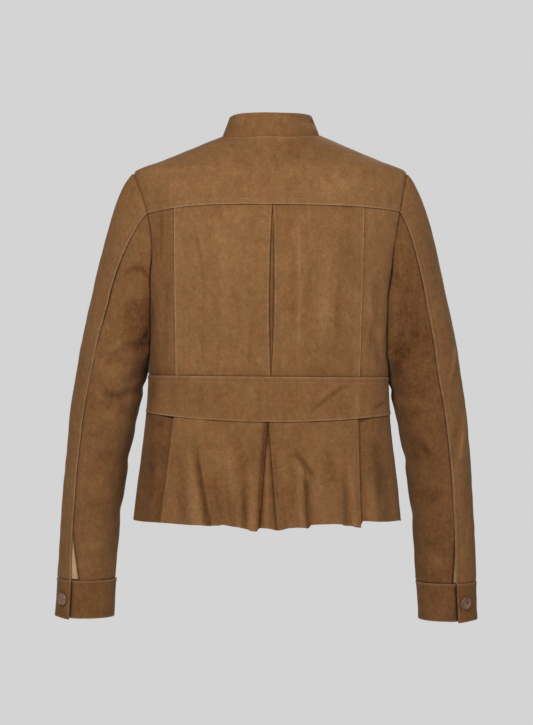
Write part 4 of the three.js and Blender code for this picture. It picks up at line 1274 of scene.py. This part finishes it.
def back_pleat():
    """The underlay of the pleat, which swells a little in the slit."""
    xs = PLEAT_SHIFT + np.linspace(PLEAT_HALF, -PLEAT_HALF, 41)
    x, z = np.meshgrid(xs, np.linspace(WAIST_Z + 1, YOKE_Z - 1, 80))

    def swell(p):
        near = bell((p[..., 0] - PLEAT_SHIFT) / PLEAT_SWELL_HALF)
        return PLEAT_SWELL * near * smooth(0.7, 2.2, slit_half(p[..., 2])) - PLEAT_INSET

    cloth("back_pleat", on_body(x, z, 1), SUEDE, shape=swell, ripples=0.1,
          edges="hidden hidden hidden hidden")


# ---- Fronts ----
def lap_lift(side, thickness):
    def lift(rows):
        near = 1 - smooth(*LAP_FADE, side * rows[..., 0] - OVERLAP)
        return -side * near * (thickness / 2 + LAP)
    return lift


def front(side):
    edge = lambda z: girth_of(-OVERLAP, z)
    us, low = spaced(210), WAIST_Z + GAP / 2
    corners = (edge(low), low), (1, low), (edge(UNDERARM_Z), UNDERARM_Z), (1, UNDERARM_Z)
    at_arm = line(*corners[2:])
    lower = panel(us, np.linspace(0, 1, 45)[:-1], -1, line(*corners[:2]), at_arm,
                  line(*corners[::2]), line(*corners[1::2]))

    def top(u):
        angle = mix(NECK_START, math.pi / 2, np.clip(u / FRONT_NECK_SHARE, 0, 1))
        return neck_and_shoulder(u, FRONT_NECK_SHARE, angle, 1)

    upper = panel(us, np.linspace(0, 1, 56), -1, at_arm, top,
                  upright(edge, UNDERARM_Z, top(0.0)[1]),
                  lambda v: arm_border(-1, 1 - v, side), pull=3)
    cloth(f"front_{NAMES[side]}", np.concatenate([lower, upper]), SUEDE, side,
          FRONT_CREASES, -1, lap_lift(side, SUEDE), [Stitches("start", 2), Stitches("start", 8)],
          seed=30 + side, edges="free seam under over")


# ---- Waistband ----
BAND_PUCKER = 0.18
BAND_PUCKER_SIZE = 13
BAND_PUCKER_TOP_Z = -392


def band_rows(columns, face, low):
    girth, v = np.meshgrid(columns, spaced(60, 2.5))
    x = across(girth, WAIST_Z)
    z = mix(low(x) + GAP / 2, WAIST_Z - GAP / 2, v)
    return on_body(across(girth, z), z, face)


def waistband():
    rows = [Stitches("top", 1.5), Stitches("top", 7.0), Stitches("bottom", 1.5)]
    puckers = lambda p: (BAND_PUCKER * ripple(p, BAND_PUCKER_SIZE, 5)
                         * smooth(BAND_PUCKER_TOP_Z, BAND_BACK_Z, p[..., 2]))
    cloth("waistband_back", band_rows(1 - 2 * spaced(400), 1, band_seam_z), BAND,
          creases=BAND_CREASES, shape=puckers, stitches=rows, seed=40,
          edges="seam seam over over")
    columns = mix(girth_of(-OVERLAP, WAIST_Z), 1, spaced(215))
    for side in (1, -1):
        cloth(f"waistband_front_{NAMES[side]}", band_rows(columns, -1, lambda x: BAND_SIDE_Z),
              BAND, side, (), -1, lap_lift(side, BAND), rows, seed=42 + side,
              edges="free plain over over")


# ---- Peplum ----
def drop_share(z):
    return np.clip((z - BAND_SIDE_Z) / (HEM_Z - BAND_SIDE_Z), 0, 1)


def fold_lift(side, face):
    def lift(rows):
        x, z = side * rows[..., 0], rows[..., 2]
        share, s = drop_share(z), arc_to(x, z, face) * np.sign(x)
        folds = [f for f in PEPLUM_FOLDS if f.side == side and f.face == face]
        return sum(
            f.out * smooth(f.start, 1, share) * bell((s - mix(f.top, f.hem, share)) / f.wide)
            for f in folds
        )
    return lift


def peplum_rows(side, start_x, end_x, us, face):
    u, v = np.meshgrid(us, spaced(150))
    drop = 1 - v
    half = read(TORSO, "half", mix(BAND_BACK_Z, HEM_Z, drop))
    turn = mix(np.arcsin(start_x(drop) / half), np.arcsin(end_x(drop) / half), u)
    x = half * np.sin(turn)
    top = band_seam_z(x) if face > 0 else BAND_SIDE_Z + 0 * x
    hem = read(BACK_HEM, "z", side * x, "x") if face > 0 else HEM_Z + 0 * x
    return on_body(x, mix(top - GAP / 2, hem, drop), face)


def peplum(edge):
    side = edge.side
    name = NAMES[side]
    outer = lambda drop: mix(edge.outer_top, edge.outer_hem, drop)
    centre = lambda drop: mix(edge.centre_top, edge.centre_hem, drop)
    side_edge = lambda drop: read(TORSO, "half", mix(BAND_BACK_Z, HEM_Z, drop))
    rows = peplum_rows(side, lambda d: outer(d) - TURN_RADIUS, lambda d: centre(d) + TURN_RADIUS,
                       spaced(130, FINER_STEP), 1)
    # Painted shade along the centre edge, where it rolls under at the pleat's lip.
    depth = -0.42 if side > 0 else -0.15
    cloth(f"peplum_back_{name}", rows, SUEDE, side, PEPLUM_CREASES, 1,
          fold_lift(side, 1), painted_shading=lambda p, distance: beside(distance["end"], 4.5, depth),
          seed=50 + side, edges="fold fold free under")
    rows = peplum_rows(side, side_edge, lambda d: outer(d) - PLEAT_BACK, spaced(78), 1)

    def tucked(p):
        x = side * p[..., 0]
        past = x - outer(drop_share(p[..., 2]))
        return fold_lift(side, 1)(p) - (SIDE_INSET + 2 * TURN_RADIUS) * (1 - smooth(-2, 26, past))

    cloth(f"peplum_side_{name}", rows, SUEDE, side, PEPLUM_CREASES, 1, tucked,
          seed=54 + side, edges="plain hidden free under")
    rows = peplum_rows(side, lambda d: -OVERLAP + 0 * d, side_edge, spaced(225), -1)
    lap, folds = lap_lift(side, SUEDE), fold_lift(side, -1)
    cloth(f"peplum_front_{name}", rows, SUEDE, side, FRONT_CREASES, -1,
          lambda p: lap(p) + folds(p), seed=58 + side,
          edges="free plain free under")


def peplum_pleat():
    half = lambda drop: mix(PLEAT_HALF, PLEAT_HEM_HALF, drop)
    rows = peplum_rows(1, half, lambda d: -half(d), spaced(64, FINER_STEP), 1)

    def shape(p):
        ridge = RIDGE_OUT * bell(p[..., 0] / RIDGE_HALF) * smooth(BAND_BACK_Z, HEM_Z, p[..., 2])
        left, right = (fold_lift(side, 1)(p) for side in (1, -1))
        fold = RIDGE_FOLD["out"] * bell((p[..., 0] - RIDGE_FOLD["x"]) / RIDGE_FOLD["half"])
        fold = fold * smooth(BAND_BACK_Z - RIDGE_FOLD["start"], HEM_Z, p[..., 2])
        return ridge + fold - PLEAT_INSET + np.where(p[..., 0] > 0, left, right)

    def painted_shading(p, _):
        """Painted highlight along the ridge and painted shade beside the edges over it, below the
        seam.
        """
        x, share = p[..., 0], drop_share(p[..., 2])
        lips = [e.side * mix(e.centre_top, e.centre_hem, share) for e in PEPLUM_EDGES]
        ridge_light_and_lip_shade = beside(x - 1, 3, 0.24), *(beside(x - lip, 3.6, -0.34) for lip in lips)
        return smooth(0, 0.3, share) * sum(ridge_light_and_lip_shade)

    cloth("peplum_pleat", rows, SUEDE, shape=shape, painted_shading=painted_shading, ripples=0.2, seed=62,
          edges="hidden hidden free under")


# ---- Collar ----
def collar():
    length = (NECK_HALF + (NECK_BACK - NECK_FRONT) / 2) / 2
    last = math.pi - COLLAR_OPEN / length
    angles = last * (1 - 2 * spaced(2 * last * length, FINE_STEP))
    angle, v = np.meshgrid(angles, spaced(COLLAR_HEIGHT, FINER_STEP))
    seam = neck_seam(angle)
    middle = read(TORSO, "side", 0)
    reach = np.where(np.cos(angle) >= 0, COLLAR_TOP_BACK - middle, middle - COLLAR_TOP_FRONT)
    rounding = 1 - np.clip((last - np.abs(angle)) * length / COLLAR_CORNER, 0, 1)
    rise = read(COLLAR_TOP, "z", np.degrees(np.abs(angle)), "angle") - seam[..., 2]
    rise = rise * mix(COLLAR_END_SHARE, 1, np.sqrt(1 - rounding**2))
    seam[..., 2] += COLLAR_LIFT - COLLAR_TUCK * (1 - smooth(0, 0.08, v))
    top = np.stack([COLLAR_TOP_HALF * np.sin(angle), middle + reach * np.cos(angle),
                    seam[..., 2] + rise], -1)
    rows = mix(seam, top, v[..., None])
    cloth("collar", rows, COLLAR_WALL, creases=COLLAR_CREASES, seed=70,
          stitches=[Stitches("top", 1.8, 12), Stitches("top", 8.0, 12)],
          edges="free free plain free")


# ---- Sleeves ----
def fold_depth(turn, z):
    full = turn % 360
    return sum(
        f.deep * bell((full - f.turn) / f.arc)
        * bell((z - f.z - f.climb * (full - f.turn)) / f.high)
        for f in SLEEVE_FOLDS
    )


def arm_point(turn, z, side, inset=0.0):
    """turn is in degrees round the arm: 0 on the outer side, 90 at the back, 180 at the body."""
    turn, z = np.broadcast_arrays(np.asarray(turn, float), np.asarray(z, float))
    off = inset + fold_depth(turn, z)
    right = smooth(CUFF_END_Z, RIGHT_FULL_Z, z) if side < 0 else 0
    near = np.where((turn > 90) & (turn < 180), smooth(HUG_END_Z, HUG_FULL_Z, z), 0)
    angle = np.radians(turn)
    full = 1 + HUG_OUT * near * np.sin(2 * angle) ** 2
    wide = (read(SLEEVE, "wide", z) + RIGHT_WIDER * right - off) * full
    deep = (read(SLEEVE, "deep", z) - off) * full
    y = read(SLEEVE, "y", z) + deep * np.sin(angle)
    rounded = read(SLEEVE, "x", z) - RIGHT_NEARER * right + wide * np.cos(angle)
    reach = body_reach(y, z) + SLEEVE_CLEAR
    x = mix(rounded, reach, near * smooth(HUG_TURN, HUG_FULL_TURN, turn))
    return np.stack([np.maximum(x, reach), y, z], -1)


def cap_points(turns, t, side):
    """From the armhole (t = 0) to the first full section of the arm."""
    full = (turns + 360) % 360
    face = np.where(full <= 180, 1, -1)
    share = np.where(face > 0, full, 360 - full) / 180
    back = face[..., None] > 0
    start_at = np.where(back, armhole(1, share, side), armhole(-1, share, side))
    under = smooth(*UNDER_SHARES, share)[..., None]
    leave = unit(np.stack([mix(*LEAVE_OUT, share), LEAVE_BACK * face * np.sin(math.pi * share),
                           -mix(*LEAVE_DOWN, share)], -1))
    z = start_at[..., 2]
    power = read(TORSO, "power", z) - 1
    half, depth = read(TORSO, "half", z), depth_at(z, face)
    off = np.abs((start_at[..., 1] - read(TORSO, "side", z)) / depth)
    out = unit(np.stack([(start_at[..., 0] / half) ** power / half, face * off**power / depth,
                         0 * z], -1))
    start_at = start_at + leave * SLEEVE_START * (1 - under) + out * UNDERARM_START * under
    to = arm_point(turns, CAP_END_Z, side)
    end = unit(arm_point(turns, CAP_END_Z - 10, side) - to)
    reach = np.linalg.norm(start_at - to, axis=-1)[..., None]
    clear = mix(UNDERARM_START, SLEEVE_CLEAR, np.minimum(1, 3 * t))
    started = t > 0
    t = t[..., None]
    rows = (mix(start_at, to, t * t * (3 - 2 * t)) + leave * LEAVE_PULL * reach * t * (1 - t) ** 2
            - end * reach * t * t * (1 - t))
    low = (rows[..., 2] < UNDERARM_Z + UNDERARM_ABOVE) & started
    least = body_reach(rows[..., 1], rows[..., 2]) + clear
    rows[..., 0] = np.where(low, np.maximum(rows[..., 0], least), rows[..., 0])
    return rows


def spread(turn, seam):
    """Spreads the turns on each side of the back seam, so that it lies at the turn seam."""
    inner = mix(seam, 180, (turn - SLEEVE_SEAM) / (180 - SLEEVE_SEAM))
    found = np.where(turn < SLEEVE_SEAM, turn * seam / SLEEVE_SEAM, inner)
    return np.where((turn < 0) | (turn > 180), turn, found)


def sleeve_rows(turns, side, vent):
    name = NAMES[side]
    low = spaced(2 * (CAP_END_Z - CUFF_TOP_Z))
    levels = mix(CUFF_TOP_Z + GAP / 2, CAP_END_Z, 2 * low[low < 0.5])
    turn, z = np.meshgrid(turns, levels)
    opening = vent * np.clip((VENT_TOP_Z - z) / (VENT_TOP_Z - CUFF_TOP_Z), 0, 1)
    back = np.clip((180 - turn) / (180 - SLEEVE_SEAM), 0, 1)
    arm = arm_point(spread(turn, read(BACK_SEAM, name, z)) + opening * back, z, side)
    high = spaced(CAP_LENGTH)
    turn, t = np.meshgrid(turns, 1 - 2 * (high[high > 0.5] - 0.5))
    seam = mix(SLEEVE_SEAM, read(BACK_SEAM, name, CAP_END_Z), t)
    seam = seam - (CAP_BOW if side > 0 else 0) * np.sin(math.pi * t)
    return np.concatenate([arm, cap_points(spread(turn, seam), t, side)])


def sleeves(side, vent, tab):
    """A whole sleeve; vent is how far its slit opens and tab where the cuff's tab ends, as turns."""
    seams = SLEEVE_FRONT_SEAM, SLEEVE_SEAM, 360 + SLEEVE_FRONT_SEAM
    top, under = (
        mix(start + SLEEVE_SEAM_HALF, end - SLEEVE_SEAM_HALF, spaced(165))
        for start, end in zip(seams, seams[1:])
    )
    front_lift = lambda p: creased(p, normals_of(p), SLEEVE_FRONT_CREASES, -1)
    cloth(f"top_sleeve_{NAMES[side]}", sleeve_rows(top, side, 0), SUEDE, side,
          SLEEVE_CREASES, 1, front_lift, [Stitches("end", 1.5), Stitches("end", 7.5)],
          0.45, 80 + side, edges="plain over under tucked")
    cloth(f"under_sleeve_{NAMES[side]}", sleeve_rows(under, side, vent), SUEDE, side,
          SLEEVE_CREASES, 1, front_lift, (), 0.5, 84 + side,
          edges="under plain under tucked")
    cuff(side, tab)
    lining(side, tab)


def cuff(side, tab):
    """Goes once round, from its under end to the end of its tab."""
    turn, v = np.meshgrid(mix(-UNDER_TURN, 360, spaced(300, 2.6)), spaced(56, 2.5))
    inset = LAPPED * (1 - smooth(*LAPPED_FADE, turn))
    inset = inset - TAB_OUT * smooth(TAB_TURN, TAB_TURN + TAB_FADE, turn)
    drop = TAB_DROP * smooth(TAB_TURN, 360, turn) * (1 - v)
    rows = arm_point(tab + turn, mix(CUFF_END_Z, CUFF_TOP_Z - GAP / 2, v) - drop, side, inset)
    hidden = np.interp(0, turn[0], lengths_along(rows, 1)[len(rows) // 2])
    shadow = lambda p, distance: beside(distance["start"] - hidden - 1.6, 2.4, -0.55)
    cloth(f"cuff_{NAMES[side]}", rows, BAND, side, SLEEVE_CREASES, 1,
          stitches=[Stitches("top", 1.6), Stitches("bottom", 1.8), Stitches("end", 1.8)],
          ripples=0.35, seed=90 + side, painted_shading=shadow,
          edges="free free free over")


def lining(side, tab):
    turn, z = np.meshgrid(np.linspace(*LINING_TURNS, 24),
                          np.linspace(CUFF_TOP_Z + LINING_SHORT, VENT_TOP_Z - LINING_SHORT, 40))
    rows = sided(side, arm_point(tab + turn, z, side, LINING_INSET))
    rows += normals_of(rows) * (0.5 * ripple(rows, 12, 100 + side, 4.0))[..., None]
    cloth_piece(f"sleeve_lining_{NAMES[side]}", rows, LINING_WALL, SATIN, "lining",
                np.zeros((*turn.shape, 2)))


# ---- Buttons ----
# Half outline of a button as (radius, height): back, rounded rim, plain dished face.
BUTTON_PROFILE = [
    (0, 0), (7.4, 0), (8.2, 0.25), (8.75, 0.8), (9.0, 1.5), (8.95, 2.2), (8.6, 2.75), (8.0, 3.0),
    (7.4, 2.95), (6.9, 2.7), (6.5, 2.3), (6.0, 2.1), (4.0, 2.2), (2.0, 2.35), (0, 2.4),
]
BUTTON_HEIGHT = 3.0
SHANK_PROFILE = [(0, -1.6), (1.6, -1.6), (1.6, 0.4), (0, 0.4)]


def button(node, material):
    """A plain rimmed button on a thread shank, where the model has its own."""
    low, high = (np.array(corner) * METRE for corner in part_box(node))
    points = np.array([v.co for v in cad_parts[node].data.vertices]) * METRE
    _, _, axes = np.linalg.svd(points - points.mean(0), full_matrices=False)
    out = axes[2] * np.sign(axes[2][1] * (1 if "cuff" in node else -1))
    turn = np.array(Vector(out).to_track_quat("Z", "Y").to_matrix())
    for part, profile, sides, finish, slot, replaced in (
        ("button", BUTTON_PROFILE, 48, material, "button", node),
        ("shank", SHANK_PROFILE, 12, THREAD, "thread", None),
    ):
        (_, first), *rings, (_, last) = profile
        vertices = np.array([
            (0, 0, first),
            *((r * math.cos(a), r * math.sin(a), h) for r, h in rings for a in angles_of(sides)),
            (0, 0, last),
        ])
        placed = (vertices - [0, 0, BUTTON_HEIGHT / 2]) @ turn.T + (low + high) / 2
        new_piece(f"{node}_{part}", placed, spindle(len(rings), sides), finish, slot, replaced)


# ---- Stage ----
EYE = (0.0029, 2.6, -0.322)
ROLL = math.radians(0.5)
LENS = 90.9
SENSOR = 36
SIGHT_END = 40
FLOOR_RADIUS = 2200
FLOOR_Z = -1350
BACKDROP = 0.658
AMBIENT = 0.28
LIT_POINT = Vector((0, 0, -0.33))
LIGHTS = (  # name, place, size and power
    ("key", (0.85, 2.55, 1.05), 0.8, 58),
    ("fill", (-1.6, 2.2, 0.1), 1.6, 20),
    ("front", (-0.9, -2.6, 0.9), 1.8, 40),
)


def camera():
    data = bpy.data.cameras.new("camera")
    data.sensor_width = SENSOR
    data.lens = LENS
    data.clip_end = SIGHT_END
    view = put("camera", data)
    view.location = EYE
    facing = Matrix.Rotation(math.pi, 3, "Z") @ Matrix.Rotation(math.pi / 2, 3, "X")
    view.rotation_euler = (facing @ Matrix.Rotation(ROLL, 3, "Z")).to_euler()
    bpy.context.scene.camera = view


def floor():
    """A pale disc under the jacket."""
    ring = np.array([
        (FLOOR_RADIUS * math.cos(a), FLOOR_RADIUS * math.sin(a), FLOOR_Z) for a in angles_of(96)
    ])
    nodes = Nodes("pale_floor", {"Roughness": 0.9})
    pale = nodes.finish(nodes.ramp(nodes.noise(3, 2.0), (0.3, 0.62), (0.7, 0.68)))
    new_piece("floor", ring, np.arange(96)[None], pale)


def lights():
    world = bpy.data.worlds.new("studio")
    world.use_nodes = True
    tree = world.node_tree
    background = tree.nodes["Background"]
    background.inputs["Color"].default_value = (*(BACKDROP,) * 3, 1)
    ray = tree.nodes.new("ShaderNodeLightPath")
    strength = tree.nodes.new("ShaderNodeMath")
    strength.operation = "MULTIPLY_ADD"
    strength.inputs[1].default_value = 1 - AMBIENT
    strength.inputs[2].default_value = AMBIENT
    tree.links.new(ray.outputs["Is Camera Ray"], strength.inputs[0])
    tree.links.new(strength.outputs[0], background.inputs["Strength"])
    bpy.context.scene.world = world
    bpy.context.scene.view_settings.view_transform = "Standard"
    for name, place, size, power in LIGHTS:
        data = bpy.data.lights.new(name, "AREA")
        data.size = size
        data.energy = power
        light = put(name, data)
        light.location = place
        light.rotation_euler = (LIT_POINT - light.location).to_track_quat("-Z", "Y").to_euler()


camera()
floor()
lights()
back_yoke()
for turned in (1, -1):
    back_panels(turned)
    front(turned)
back_pleat()
waistband()
for pleat in PEPLUM_EDGES:
    peplum(pleat)
peplum_pleat()
collar()
sleeves(1, 18, 62.5)
sleeves(-1, 7, 74)
PALE_HORN = horn_material("pale_horn", (0.36, 0.21, 0.14), (0.13, 0.06, 0.04))
DARK_HORN = horn_material("dark_horn", (0.24, 0.13, 0.08), (0.09, 0.04, 0.025))
button("cuff_button_left", PALE_HORN)
button("cuff_button_right", DARK_HORN)
for number in range(1, 6):
    button(f"front_button_{number}", DARK_HORN)
